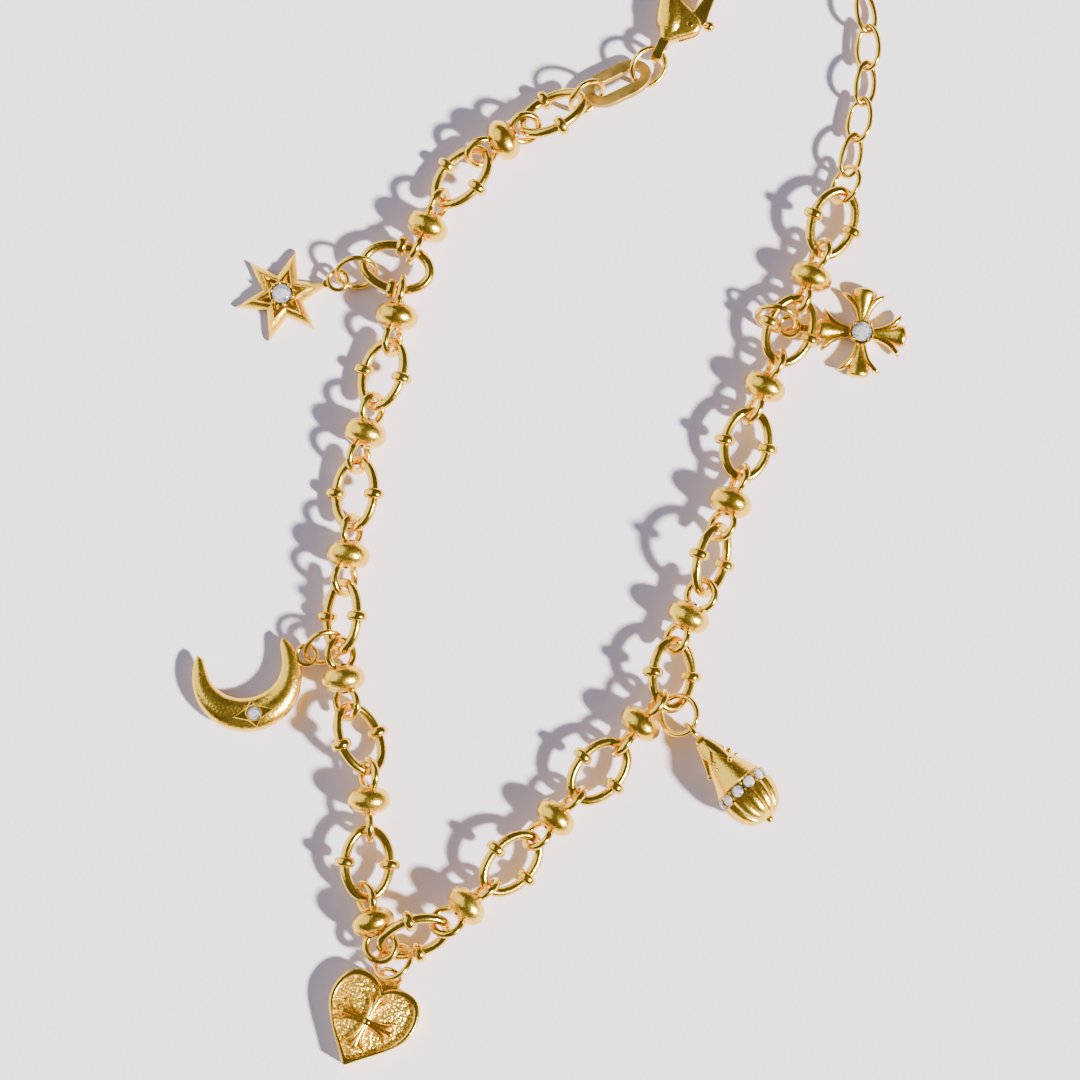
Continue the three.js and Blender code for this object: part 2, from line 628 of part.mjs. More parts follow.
function dropGeometry() {
  const cone = turned([
    [DROP_NECK - 0.2, 0], [DROP_NECK - 0.2, 0.55], [DROP_NECK + 0.2, 0.55], [DROP_NECK + 0.35, 0.5],
    [DROP_NECK + DROP_CONE_LENGTH * 0.5, DROP_RADIUS * 0.5], [DROP_BAND - 0.25, DROP_RADIUS * 0.88],
    [DROP_BAND, DROP_RADIUS * 0.92], [DROP_BAND, DROP_BAND_RADIUS - 0.5],
    [DROP_BAND + DROP_BAND_WIDTH, DROP_BAND_RADIUS - 0.5], [DROP_BAND + DROP_BAND_WIDTH, 0],
  ], 12);
  const bowlLength = DROP_END - DROP_BAND - DROP_BAND_WIDTH - 0.35;
  const sides = 2 * DROP_LOBES;
  const rows = 4;
  const rings = Array.from({ length: rows + 1 }, (_, row) => {
    const angle = Math.PI / 2 * row / rows * 0.93;
    const along = DROP_BAND + DROP_BAND_WIDTH + bowlLength * Math.sin(angle);
    const radius = DROP_RADIUS * Math.cos(angle) ** 0.8;
    return Array.from({ length: sides }, (_, side) => {
      const around = 2 * Math.PI * side / sides;
      const reach = radius * (side % 2 ? 1 : 0.9);
      return new THREE.Vector3(along, reach * Math.cos(around), reach * Math.sin(around));
    });
  });
  const pip = new THREE.OctahedronGeometry(0.38, 1).translate(DROP_END - 0.3, 0, 0);
  const slope = Math.atan2(DROP_RADIUS * 0.5 - 0.5, DROP_CONE_LENGTH * 0.5 - 0.35);
  const leaves = Array.from({ length: DROP_LEAVES }, (_, leaf) => {
    const length = leaf % 2 ? 2.9 : 2.1;
    const blade = new THREE.OctahedronGeometry(1)
      .scale(length / 2, 0.34, 0.17)
      .translate(length / 2, 0, 0);
    const ball = new THREE.OctahedronGeometry(0.26).translate(length, 0, 0.02);
    return [blade, ball].map((piece) => piece
      .rotateY(-slope)
      .translate(DROP_NECK + 0.3, 0, 0.52)
      .rotateX(2 * Math.PI * (leaf + 0.5) / DROP_LEAVES));
  });
  const loop = wireRing(CHARM_EYE_DIAMETER, CHARM_EYE_WIRE, 12).rotateX(Math.PI / 2);
  return join(cone, loft(rings), pip, loop, ...leaves.flat());
}

// The paved band: a ring in the bud's groove with its stones fused on.
function dropStonesGeometry() {
  const inner = DROP_BAND_RADIUS - 0.5 + SEAT_GAP;
  const start = DROP_BAND + SEAT_GAP;
  const end = DROP_BAND + DROP_BAND_WIDTH - SEAT_GAP;
  const outer = DROP_BAND_RADIUS - 0.1;
  const band = turned([[start, inner], [start, outer], [end, outer], [end, inner], [start, inner]], 12);
  const diameter = DROP_STONE_DIAMETER - 2 * SEAT_GAP;
  const stones = Array.from({ length: DROP_STONES }, (_, stone) => stoneGeometry(diameter)
    .translate((start + end) / 2, 0, DROP_BAND_RADIUS)
    .rotateX(2 * Math.PI * (stone + 0.5) / DROP_STONES));
  return join(band, ...stones);
}

// Cross: four arms, each a domed leaf between two side leaves, round a claw-set stone. Its eye
// is at the origin and one arm lies along +X behind it.

const CROSS_CENTRE = CROSS_REACH + CROSS_STEM_LENGTH + CHARM_EYE_RADIUS;
const CROSS_STONE_HEIGHT = CROSS_THICKNESS + 0.15;

function leafGeometry(length, width, height) {
  return turned([[0, 0], [0, 0.25], [length * 0.7, 0.5], [length * 0.95, 0.34], [length, 0]], 6)
    .scale(1, width, height);
}

function crossGeometry() {
  const leafLength = CROSS_REACH - 0.75;
  const middle = CROSS_THICKNESS / 2;
  const splay = Math.atan2(CROSS_END_WIDTH / 2 - 0.45, leafLength * 0.9);
  const arms = [0, 1, 2, 3].flatMap((arm) => [-1, 0, 1].map((side) => {
    const length = side ? leafLength * 0.9 : leafLength;
    return leafGeometry(length, side ? 0.95 : 1.6, side ? 1.1 : CROSS_THICKNESS)
      .rotateZ(side * splay)
      .translate(0.75, side * 0.12, 0)
      .rotateZ(arm * Math.PI / 2)
      .translate(0, 0, middle);
  }));
  const hub = stonePost(CROSS_STONE_DIAMETER, CROSS_THICKNESS);
  const claws = clawsGeometry(CROSS_STONE_DIAMETER, CROSS_STONE_HEIGHT, 4, 45);
  const seat = seatGeometry(CROSS_STONE_DIAMETER).translate(0, 0, CROSS_STONE_HEIGHT);
  return join(
    cut(join(...arms, hub, ...claws), seat).rotateZ(Math.PI).translate(CROSS_CENTRE, 0, 0),
    charmEye(CROSS_PLACE.height, 0.25),
    new THREE.BoxGeometry(CROSS_STEM_LENGTH + 0.6, CROSS_STEM_WIDTH, 0.6)
      .translate(CHARM_EYE_RADIUS + CROSS_STEM_LENGTH / 2 + 0.4, 0, 0.5),
  );
}

// Layout

const bracelet = new THREE.Group();

function addMesh(name, geometry, look) {
  const mesh = new THREE.Mesh(geometry, new THREE.MeshStandardMaterial(look));
  mesh.name = name;
  bracelet.add(mesh);
  return mesh;
}

function direction(heading, pitch = 0) {
  const level = Math.cos(rad(pitch));
  const turn = rad(heading);
  return new THREE.Vector3(level * Math.cos(turn), level * Math.sin(turn), Math.sin(rad(pitch)));
}

// Turns a piece so that its X axis runs along a heading and pitch, rolled about that axis.
function aim(mesh, at, heading, pitch = 0, roll = 0) {
  mesh.position.copy(at);
  mesh.rotation.set(rad(roll), rad(-pitch), rad(heading), 'ZYX');
  mesh.updateMatrixWorld();
  return mesh;
}

const LINK_HALF_LENGTH = (LINK_LENGTH - LINK_WIRE) / 2;
const LINK_HALF_WIDTH = (LINK_WIDTH - LINK_WIRE) / 2;
const LINK_TO_BEAD = EYE_END - EYE_WIRE / 2 - LINK_WIRE / 2 - HOOK_GAP;
const CHAIN_HEIGHT = BEAD_DIAMETER / 2;
const placed = {};

// A rolled link lies on its lower collar, or level with the beads.
function linkHeight(roll) {
  return Math.max(CHAIN_HEIGHT, LINK_HALF_WIDTH * Math.abs(Math.sin(rad(roll))) + COLLAR_DIAMETER / 2);
}

function onOval(angle) {
  const turn = rad(angle);
  return new THREE.Vector3(LINK_HALF_LENGTH * Math.cos(turn), LINK_HALF_WIDTH * Math.sin(turn), 0);
}

function pieceName(kind, number) {
  return `${kind}_${String(number).padStart(2, '0')}`;
}

// Lays a link so that the point at one angle of its oval comes to the given place.
function layLink(row, place) {
  const link = addMesh(pieceName('link', row.link), linkGeometry(), GOLD);
  aim(link, new THREE.Vector3(), row.heading, 0, row.roll);
  const entry = onOval(row.entry ?? 180).applyMatrix4(link.matrixWorld);
  link.position.set(place.x - entry.x, place.y - entry.y, linkHeight(row.roll));
  link.updateMatrixWorld();
  placed[link.name] = link;
  return onOval(row.exit ?? 0).applyMatrix4(link.matrixWorld);
}

// Lays a bead between the wire it comes from and the height of the wire it goes to.
function layBead(row, from, height) {
  const reach = LINK_TO_BEAD - row.slack;
  const pitch = THREE.MathUtils.radToDeg(Math.asin((height - from.z) / (2 * reach)));
  const along = direction(row.heading, pitch);
  const bead = addMesh(pieceName('bead', row.bead), beadGeometry(row.near, row.far), GOLD);
  aim(bead, from.clone().addScaledVector(along, reach), row.heading, pitch);
  placed[bead.name] = bead;
  return from.clone().addScaledVector(along, 2 * reach);
}

// The height of the place on a link where the chain comes in.
function entryHeight(row) {
  const rise = LINK_HALF_WIDTH * Math.sin(rad(row.entry ?? 180)) * Math.sin(rad(row.roll));
  return linkHeight(row.roll) + rise;
}

function layStrand(rows, start) {
  return rows.reduce((place, row, index) => (
    row.link ? layLink(row, place) : layBead(row, place, entryHeight(rows[index + 1]))
  ), start);
}

const RING_RADIUS = (RING_DIAMETER - RING_WIRE) / 2;

// Hangs a jump ring on a wire and returns the place of the wire that the ring holds next.
function layRing(name, ring, from, wire, nextWire, height) {
  const near = RING_RADIUS - RING_WIRE / 2 - wire / 2 - HOOK_GAP - ring.slack;
  const far = RING_RADIUS - RING_WIRE / 2 - nextWire / 2 - HOOK_GAP - ring.slack;
  const pitch = THREE.MathUtils.radToDeg(Math.asin((height - from.z) / (near + far)));
  const along = direction(ring.heading, pitch);
  const mesh = addMesh(name, wireRing(RING_DIAMETER, RING_WIRE), GOLD);
  aim(mesh, from.clone().addScaledVector(along, near), ring.heading, pitch, ring.roll);
  return from.clone().addScaledVector(along, near + far);
}

const lowest = { ...LOWEST_LINK, link: 9 };
const lowestPlace = new THREE.Vector3(LOWEST_LINK.x, LOWEST_LINK.y, 0);
const lowestStart = onOval(180).applyMatrix4(
  aim(new THREE.Object3D(), lowestPlace, lowest.heading).matrixWorld,
);
const rightStart = layLink(lowest, lowestStart);
const leftStart = onOval(180).applyMatrix4(placed.link_09.matrixWorld);
const leftEnd = layStrand(LEFT_STRAND, leftStart);
const rightEnd = layStrand(RIGHT_STRAND, rightStart);

// Clasp side: ring, plate link, ring, clasp
const tagHalf = (TAG_LENGTH - TAG_BAND) / 2;
const { tagRing, tag, claspRing, clasp } = CLASP_SIDE;
const tagStart = layRing('tag_ring', tagRing, leftEnd, LINK_WIRE, TAG_BAND, tag.height);
const tagAlong = direction(tag.heading);
const tagMesh = addMesh('tag_link', tagGeometry(), BRUSHED_GOLD);
aim(tagMesh, tagStart.clone().addScaledVector(tagAlong, tagHalf), tag.heading, 0, tag.roll);
const tagEnd = tagStart.clone().addScaledVector(tagAlong, 2 * tagHalf);
const claspStart = layRing('clasp_ring', claspRing, tagEnd, TAG_BAND, TAIL_STRAP_THICKNESS, clasp.height);
const claspAlong = direction(clasp.heading);
const tailHalf = (TAIL_EYE_LENGTH - TAIL_STRAP_THICKNESS) / 2;
const claspOrigin = claspStart.clone().addScaledVector(claspAlong, tailHalf);
const claspBody = addMesh('clasp_body', claspBodyGeometry(), GOLD);
const claspLever = addMesh('clasp_lever', leverGeometry(), GOLD);
[claspBody, claspLever].forEach((piece) => aim(piece, claspOrigin, clasp.heading));

// Extender side: ring, then the chain laid on a curve that is as full as its length needs
const extenderPitch = EXTENDER_LENGTH - 2 * EXTENDER_WIRE;
const { ring: extenderRing, height: extenderHeight } = EXTENDER_SIDE;
const ringEnd = layRing('extender_ring', extenderRing, rightEnd, LINK_WIRE, EXTENDER_WIRE, extenderHeight);
const hookInside = new THREE.Vector3(CLASP_BAY_END - EXTENDER_WIRE / 2 - 2 * HOOK_GAP, -0.25, 0)
  .applyMatrix4(claspBody.matrixWorld);

function extenderCurve(fullness) {
  const out = direction(EXTENDER_SIDE.heading).multiplyScalar(fullness);
  const back = direction(EXTENDER_SIDE.arrival).multiplyScalar(fullness);
  const controls = [ringEnd.clone().add(out), hookInside.clone().sub(back)];
  return new THREE.CubicBezierCurve3(ringEnd, ...controls, hookInside);
}

function extenderGeometry() {
  const length = EXTENDER_LINKS * extenderPitch + EXTENDER_WIRE;
  let low = 1;
  let high = length;
  for (let turn = 0; turn < 30; turn++) {
    const middle = (low + high) / 2;
    if (extenderCurve(middle).getLength() < length) low = middle;
    else high = middle;
  }
  const curve = extenderCurve(low);
  curve.arcLengthDivisions = 400;
  const holder = new THREE.Object3D();
  const links = Array.from({ length: EXTENDER_LINKS }, (_, link) => {
    const start = link * extenderPitch;
    const from = curve.getPointAt(start / length);
    const to = curve.getPointAt(Math.min(1, (start + extenderPitch + EXTENDER_WIRE) / length));
    const along = to.clone().sub(from);
    const heading = THREE.MathUtils.radToDeg(Math.atan2(along.y, along.x));
    const middle = from.add(to).divideScalar(2);
    const lastOne = link === EXTENDER_LINKS - 1;
    const roll = lastOne ? 90 : EXTENDER_SIDE.roll * (link % 2 ? -1 : 1) + (link % 2 ? 10 : 0);
    aim(holder, middle, heading, 0, roll);
    return wireOval(EXTENDER_LENGTH + EXTENDER_WELD, EXTENDER_WIDTH, EXTENDER_WIRE, 10, -0.12)
      .applyMatrix4(holder.matrixWorld);
  });
  return join(...links);
}
addMesh('extender_chain', extenderGeometry(), GOLD);

// Charms on their jump rings

function hangCharm(name, place, from, wire, eyeHeight) {
  return layRing(`${name}_ring`, place, from, wire, CHARM_EYE_WIRE, eyeHeight);
}

function placeOnLink(place) {
  return onOval(place.angle).applyMatrix4(placed[place.on].matrixWorld);
}

function layStar() {
  const eye = hangCharm('star', STAR_PLACE, placeOnLink(STAR_PLACE), LINK_WIRE, STAR_PLACE.height);
  const at = eye.addScaledVector(direction(STAR_PLACE.charm), CHARM_EYE_RADIUS).setZ(0);
  const star = aim(addMesh('star_charm', starGeometry(), GOLD), at, STAR_PLACE.charm);
  const stone = addMesh('star_stone', stoneGeometry(STAR_STONE_DIAMETER), STONE);
  const seat = new THREE.Vector3(STAR_CENTRE, 0, STAR_SEAT_HEIGHT);
  aim(stone, seat.applyMatrix4(star.matrixWorld), STAR_PLACE.charm);
}

function layMoon() {
  const eye = hangCharm('moon', MOON_PLACE, placeOnLink(MOON_PLACE), LINK_WIRE, MOON_PLACE.height);
  const at = eye
    .addScaledVector(direction(MOON_PLACE.charm), MOON_RADIUS + 2 * CHARM_EYE_RADIUS - 0.12)
    .setZ(0);
  const turn = MOON_PLACE.charm - 180 - (MOON_EYE_ANGLE - 90);
  const moon = aim(addMesh('moon_charm', moonGeometry(), GOLD), at, turn);
  const stone = addMesh('moon_stone', stoneGeometry(MOON_STONE_DIAMETER), STONE);
  aim(stone, new THREE.Vector3(0, -MOON_BOW, MOON_STONE_HEIGHT).applyMatrix4(moon.matrixWorld), turn);
}

function layHeart() {
  const eye = hangCharm('heart', HEART_PLACE, placeOnLink(HEART_PLACE), LINK_WIRE, HEART_EYE_TOP.z);
  const at = eye.addScaledVector(direction(HEART_PLACE.charm), HEART_EYE_TOP.x).setZ(0);
  aim(addMesh('heart_charm', heartGeometry(), GOLD), at, HEART_PLACE.charm + 180);
}

function layDrop() {
  const eye = hangCharm('drop', DROP_PLACE, placeOnLink(DROP_PLACE), LINK_WIRE, DROP_PLACE.height);
  const at = eye.addScaledVector(direction(DROP_PLACE.charm), CHARM_EYE_RADIUS);
  // The bud lies on its widest part, with its loop a little lower.
  const pitch = THREE.MathUtils.radToDeg(Math.asin((DROP_RADIUS - DROP_PLACE.height) / DROP_BAND));
  [['drop_charm', dropGeometry(), GOLD], ['drop_stones', dropStonesGeometry(), STONE]]
    .forEach(([name, geometry, look]) => aim(addMesh(name, geometry, look), at, DROP_PLACE.charm, pitch));
}

function layCross() {
  const eye = hangCharm('cross', CROSS_PLACE, placeOnLink(CROSS_PLACE), LINK_WIRE, CROSS_PLACE.height);
  const at = eye.addScaledVector(direction(CROSS_PLACE.charm), CHARM_EYE_RADIUS).setZ(0);
  const cross = aim(addMesh('cross_charm', crossGeometry(), GOLD), at, CROSS_PLACE.charm);
  const stone = addMesh('cross_stone', stoneGeometry(CROSS_STONE_DIAMETER), STONE);
  const seat = new THREE.Vector3(CROSS_CENTRE, 0, CROSS_STONE_HEIGHT);
  aim(stone, seat.applyMatrix4(cross.matrixWorld), CROSS_PLACE.charm);
}

layStar();
layMoon();
layHeart();
layDrop();
layCross();

// The origin is under the middle of the whole bracelet, on the surface it lies on.
const box = new THREE.Box3().setFromObject(bracelet, true);
const shift = new THREE.Vector3(-(box.min.x + box.max.x) / 2, -(box.min.y + box.max.y) / 2, -box.min.z);
bracelet.children.forEach((piece) => piece.position.add(shift));

export default bracelet;
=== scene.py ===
# %% [markdown]
# # A charm bracelet lying on paper
# The frame holds the CAD solids. Every one is replaced here by a finer mesh of the same size in
# the same place, in world metres, with its object at the origin. All sizes below are in
# millimetres and are turned into metres when a piece is placed.

import json
import math

import bmesh
import bpy
from mathutils import Matrix, Vector

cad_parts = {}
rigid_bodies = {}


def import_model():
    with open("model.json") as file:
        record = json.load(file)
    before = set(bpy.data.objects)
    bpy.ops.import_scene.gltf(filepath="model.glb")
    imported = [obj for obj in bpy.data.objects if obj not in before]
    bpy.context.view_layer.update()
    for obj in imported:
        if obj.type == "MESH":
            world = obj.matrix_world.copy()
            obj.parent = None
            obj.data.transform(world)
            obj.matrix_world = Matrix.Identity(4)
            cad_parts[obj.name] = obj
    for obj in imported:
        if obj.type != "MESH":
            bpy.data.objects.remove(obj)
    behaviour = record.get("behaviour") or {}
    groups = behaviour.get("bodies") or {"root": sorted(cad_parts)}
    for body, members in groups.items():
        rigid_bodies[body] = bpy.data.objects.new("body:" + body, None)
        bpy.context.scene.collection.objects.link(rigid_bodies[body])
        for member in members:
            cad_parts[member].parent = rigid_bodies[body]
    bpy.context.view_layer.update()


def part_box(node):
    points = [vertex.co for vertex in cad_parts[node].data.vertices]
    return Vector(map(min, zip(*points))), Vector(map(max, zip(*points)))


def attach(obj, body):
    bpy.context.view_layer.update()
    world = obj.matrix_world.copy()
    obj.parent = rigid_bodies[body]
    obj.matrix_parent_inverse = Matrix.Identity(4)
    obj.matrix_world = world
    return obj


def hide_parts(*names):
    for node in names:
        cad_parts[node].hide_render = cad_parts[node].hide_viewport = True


for item in list(bpy.data.objects):
    bpy.data.objects.remove(item)
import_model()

# %% [markdown]
# A bracelet like this is bent, cast and soldered from small parts. Every shared size stands here
# once, in millimetres. Sizes could be typed where they are used, but a ring and the link that it
# hooks into would soon disagree.

# %% Sizes
HOOK_GAP, HINGE_GAP = 0.17, 0.08
LINK_LENGTH, LINK_WIDTH, LINK_WIRE = 6.9, 4.85, 0.85
COLLAR_DIAMETER, COLLAR_THICKNESS = 1.85, 0.9
BEAD_DIAMETER, BEAD_THICKNESS = 3.85, 2.45
EYE_WIDTH, EYE_REACH, EYE_SINK, EYE_WIRE = 3.3, 2.6, 0.35, 0.6
RING_DIAMETER, RING_WIRE = 3.95, 0.5
CHARM_EYE_DIAMETER, CHARM_EYE_WIRE = 2.15, 0.42
CHARM_EYE = (CHARM_EYE_DIAMETER - CHARM_EYE_WIRE) / 2
TAG_LENGTH, TAG_WIDTH, TAG_BAND, TAG_THICKNESS = 6.4, 3.7, 1.0, 0.55
CLASP_LENGTH, CLASP_WIDTH, CLASP_BODY, HOOK_WIDTH, HOOK_HEIGHT = 10.6, 5.2, 2.5, 0.95, 1.0
TAIL_LENGTH, TAIL_HEIGHT, TAIL_THICKNESS = 2.6, 2.45, 0.38
LEVER_THICKNESS, PIVOT_DIAMETER, NUB_DIAMETER = 0.9, 0.6, 1.0
EXTENDER_LENGTH, EXTENDER_WIDTH, EXTENDER_WIRE, EXTENDER_WELD = 4.3, 2.6, 0.48, 0.1
STAR_RADIUS, STAR_HEIGHT, STAR_STONE, STAR_EYE_HEIGHT = 4.3, 1.45, 1.7, 1.15
MOON_RADIUS, MOON_HOLLOW, MOON_WIDTH, MOON_HEIGHT, MOON_STONE = 4.9, 4.0, 3.1, 2.3, 1.15
MOON_EYE_TURN, MOON_EYE_HEIGHT, MOON_EYE_SINK = 8, 1.5, 0.12
HEART_WIDTH, HEART_DEPTH, HEART_LOBE, HEART_THICKNESS, HEART_RECESS = 8.2, 7.45, 0.95, 1.9, 0.5
HEART_NECK_LENGTH, HEART_NECK_WIDTH, HEART_EYE_HEIGHT, HEART_EYE_TILT = 1.3, 2.1, 1.1, 60
DROP_RADIUS, DROP_LENGTH, DROP_CONE_LENGTH, DROP_BAND_WIDTH, DROP_STONES = 2.55, 9.5, 5.1, 1.15, 11
NECK = CHARM_EYE + 0.21
DROP_BAND = NECK + DROP_CONE_LENGTH
CROSS_REACH, CROSS_STEM_LENGTH, CROSS_THICKNESS, CROSS_STONE = 4.1, 1.5, 1.5, 1.75
CROSS_EYE_HEIGHT = 0.97
print("link", LINK_LENGTH, "bead", BEAD_DIAMETER, "ring", RING_DIAMETER, "mm")

# %% [markdown]
# The route is the way the bracelet lies in the photo, given as headings in degrees above
# +X. Rolls turn a link or an eye about the chain, 0 lying flat, and near and far are the rolls of
# a bead's two eyes. Slack is how far a piece has slid back from the taut chain. A link that is
# hooked off its end gives the angles round its oval, and a charm's ring gives its link and its
# angle round that oval. A list of coordinates would do too, but headings keep the pieces hooked
# into each other when a size changes.

# %% Route
LOWEST_LINK = dict(link=9, heading=17, roll=45, exit=14)
LEFT_STRAND = [
    dict(bead=8, heading=108, slack=0.35, near=-8, far=-60),
    dict(link=8, heading=87, roll=10),
    dict(bead=7, heading=91, slack=0.06, near=-85, far=-60),
    dict(link=7, heading=112, roll=33, entry=168),
    dict(bead=6, heading=97, slack=0.12, near=-45, far=35),
    dict(link=6, heading=87, roll=-46),
    dict(bead=5, heading=82, slack=0.1, near=50, far=60),
    dict(link=5, heading=86, roll=-30),
    dict(bead=4, heading=74, slack=0.12, near=58, far=54),
    dict(link=4, heading=74, roll=-28),
    dict(bead=3, heading=80, slack=0.27, near=65, far=-88),
    dict(link=3, heading=-13, roll=0, entry=-73, exit=66),
    dict(bead=2, heading=63, slack=0.15, near=-85, far=68),
    dict(link=2, heading=50, roll=-26),
    dict(bead=1, heading=29, slack=0.6, near=48, far=40),
    dict(link=1, heading=29, roll=-38),
]
RIGHT_STRAND = [
    dict(bead=9, heading=39, slack=0.16, near=-30, far=-75),
    dict(link=10, heading=47, roll=24),
    dict(bead=10, heading=45, slack=0.04, near=-52, far=-75),
    dict(link=11, heading=48, roll=15),
    dict(bead=11, heading=50, slack=0.06, near=-78, far=-75),
    dict(link=12, heading=85, roll=30, entry=146),
    dict(bead=12, heading=60, slack=0.17, near=-50, far=-25),
    dict(link=13, heading=74, roll=52),
    dict(bead=13, heading=69, slack=0.2, near=-45, far=-70),
    dict(link=14, heading=79, roll=12),
    dict(bead=14, heading=64, slack=0.14, near=-70, far=-72),
    dict(link=15, heading=68, roll=12),
    dict(bead=15, heading=68, slack=0.4, near=-70, far=-64),
    dict(link=16, heading=68, roll=21),
]
CHARM_RINGS = {
    "star": dict(on="link_03", angle=200, heading=208, roll=-46, slack=0.03, height=STAR_EYE_HEIGHT),
    "moon": dict(on="link_06", angle=143, heading=206, roll=-48, slack=0.2, height=MOON_EYE_HEIGHT),
    "heart": dict(on="link_09", angle=222, heading=275, roll=22, slack=0.05, height=(
        HEART_EYE_HEIGHT + 2 * CHARM_EYE * math.sin(math.radians(HEART_EYE_TILT)))),
    "drop": dict(on="link_12", angle=192, heading=308, roll=20, slack=0.05, height=2.2),
    "cross": dict(on="link_15", angle=73, heading=303, roll=40, slack=0.12, height=CROSS_EYE_HEIGHT),
}
CHARM_HEADINGS = dict(star=194, moon=200, heart=241.5, drop=311, cross=355)
FITTINGS = {
    "tag_ring": dict(heading=12, roll=52, slack=0.3, height=1.45),
    "tag_link": dict(heading=26, roll=-24),
    "clasp_ring": dict(heading=46, roll=42, slack=0.3, height=1.4),
    "clasp": dict(heading=64),
    "extender_ring": dict(heading=85, roll=-50, slack=0.1, height=1.3),
}
EXTENDER_ROUTE = dict(links=10, leaves=74, arrives=205, roll=38, last_roll=90)
print("rows on the left", len(LEFT_STRAND), "and on the right", len(RIGHT_STRAND))

# %% [markdown]
# A matrix moves, turns or stretches a mesh, and @ chains matrices so that the last one acts
# first. Objects could be moved instead, but here every object stays at the origin and its place
# goes into its mesh.

# %% Moves and turns
HERE = Matrix.Identity(4)
PLACES = {}


def move(x=0, y=0, z=0):
    return Matrix.Translation((x, y, z))


def spin(degrees, axis):
    return Matrix.Rotation(math.radians(degrees), 4, axis)


def stretch(x, y, z):
    return Matrix.Diagonal((x, y, z, 1))


def pose(x, y, z, heading=0, pitch=0, roll=0):
    return move(x, y, z) @ spin(heading, "Z") @ spin(-pitch, "Y") @ spin(roll, "X")


def direction(heading, pitch=0):
    return spin(heading, "Z") @ spin(-pitch, "Y") @ Vector((1, 0, 0))


def lay(name, at, heading, pitch=0, roll=0):
    PLACES[name] = pose(*at, heading, pitch, roll)
    return PLACES[name]


print("direction at 90 degrees", direction(90))

# %% [markdown]
# The chain is laid as the CAD lays it, link by link and bead by bead, up both sides from the
# lowest link. Each wire passes the next with a small gap, as in a real chain, so that nothing
# overlaps. A physics simulation could drape the chain, but its places would not match the CAD.

# %% Laying the chain


def on_oval(angle):
    turn = math.radians(angle)
    half_length, half_width = (LINK_LENGTH - LINK_WIRE) / 2, (LINK_WIDTH - LINK_WIRE) / 2
    return Vector((half_length * math.cos(turn), half_width * math.sin(turn), 0))


def link_height(roll):
    """A rolled link lies on its lower collar, or level with the beads."""
    side = on_oval(90).y * abs(math.sin(math.radians(roll)))
    return max(BEAD_DIAMETER / 2, side + COLLAR_DIAMETER / 2)


def lay_link(row, start):
    """Lays a link so that the chain enters it at the start, and gives where it leaves."""
    entry = pose(0, 0, 0, row["heading"], 0, row["roll"]) @ on_oval(row.get("entry", 180))
    at = (start.x - entry.x, start.y - entry.y, link_height(row["roll"]))
    link = lay(f"link_{row['link']:02d}", at, row["heading"], 0, row["roll"])
    return link @ on_oval(row.get("exit", 0))


def lay_between(name, start, height, heading, reaches, roll=0):
    """Lays a bead or a ring between two wires, the second one at a height."""
    pitch = math.degrees(math.asin((height - start.z) / sum(reaches)))
    along = direction(heading, pitch)
    lay(name, start + along * reaches[0], heading, pitch, roll)
    return start + along * sum(reaches)


def lay_strand(rows, start):
    for row, following in zip(rows, [*rows[1:], None]):
        if "link" in row:
            start = lay_link(row, start)
            continue
        next_roll = math.radians(following["roll"])
        aside = on_oval(following.get("entry", 180)).y
        height = link_height(following["roll"]) + aside * math.sin(next_roll)
        reach = BEAD_THICKNESS / 2 + EYE_REACH - EYE_WIRE - LINK_WIRE / 2 - HOOK_GAP - row["slack"]
        start = lay_between(f"bead_{row['bead']:02d}", start, height, row["heading"], (reach, reach))
    return start


def lay_ring(name, start, wires, height, heading, roll, slack, **_):
    """Hangs a jump ring on one wire and gives the place of the next wire."""
    reaches = [RING_DIAMETER / 2 - RING_WIRE - wire / 2 - HOOK_GAP - slack for wire in wires]
    return lay_between(name, start, height, heading, reaches, roll)


# The lowest link is laid about the middle of the route's own plan.
right_start = lay_link(LOWEST_LINK, direction(LOWEST_LINK["heading"]) * on_oval(180).x)
left_end = lay_strand(LEFT_STRAND, PLACES["link_09"] @ on_oval(180))
right_end = lay_strand(RIGHT_STRAND, right_start)
print("chain ends", left_end, right_end)

# %% [markdown]
# The plate link and the clasp go on from the left end, and the extender from the right end to the
# hook. The extender's curve could be drawn freely, but wire links do not stretch, so its fullness
# is worked out until its length is that of its ten links.

# %% Laying the fittings
tag_start = lay_ring("tag_ring", left_end, (LINK_WIRE, TAG_BAND), **FITTINGS["tag_ring"])
tag = FITTINGS["tag_link"]
tag_reach = direction(tag["heading"]) * (TAG_LENGTH - TAG_BAND) / 2
lay("tag_link", tag_start + tag_reach, tag["heading"], 0, tag["roll"])
tag_end = tag_start + 2 * tag_reach
tail_start = lay_ring("clasp_ring", tag_end, (TAG_BAND, TAIL_THICKNESS), **FITTINGS["clasp_ring"])
clasp_heading = FITTINGS["clasp"]["heading"]
clasp_at = tail_start + direction(clasp_heading) * (TAIL_LENGTH - TAIL_THICKNESS) / 2
for name in ("clasp_body", "clasp_lever"):
    lay(name, clasp_at, clasp_heading)

# The extender's last link lies against the inside of the hook.
hook_reach = CLASP_LENGTH - HOOK_WIDTH - EXTENDER_WIRE / 2 - 2 * HOOK_GAP
hook_inside = PLACES["clasp_body"] @ Vector((hook_reach, -0.25, 0))
ring_end = lay_ring("extender_ring", right_end, (LINK_WIRE, EXTENDER_WIRE), **FITTINGS["extender_ring"])
extender_pitch = EXTENDER_LENGTH - 2 * EXTENDER_WIRE
extender_whole = EXTENDER_ROUTE["links"] * extender_pitch + EXTENDER_WIRE


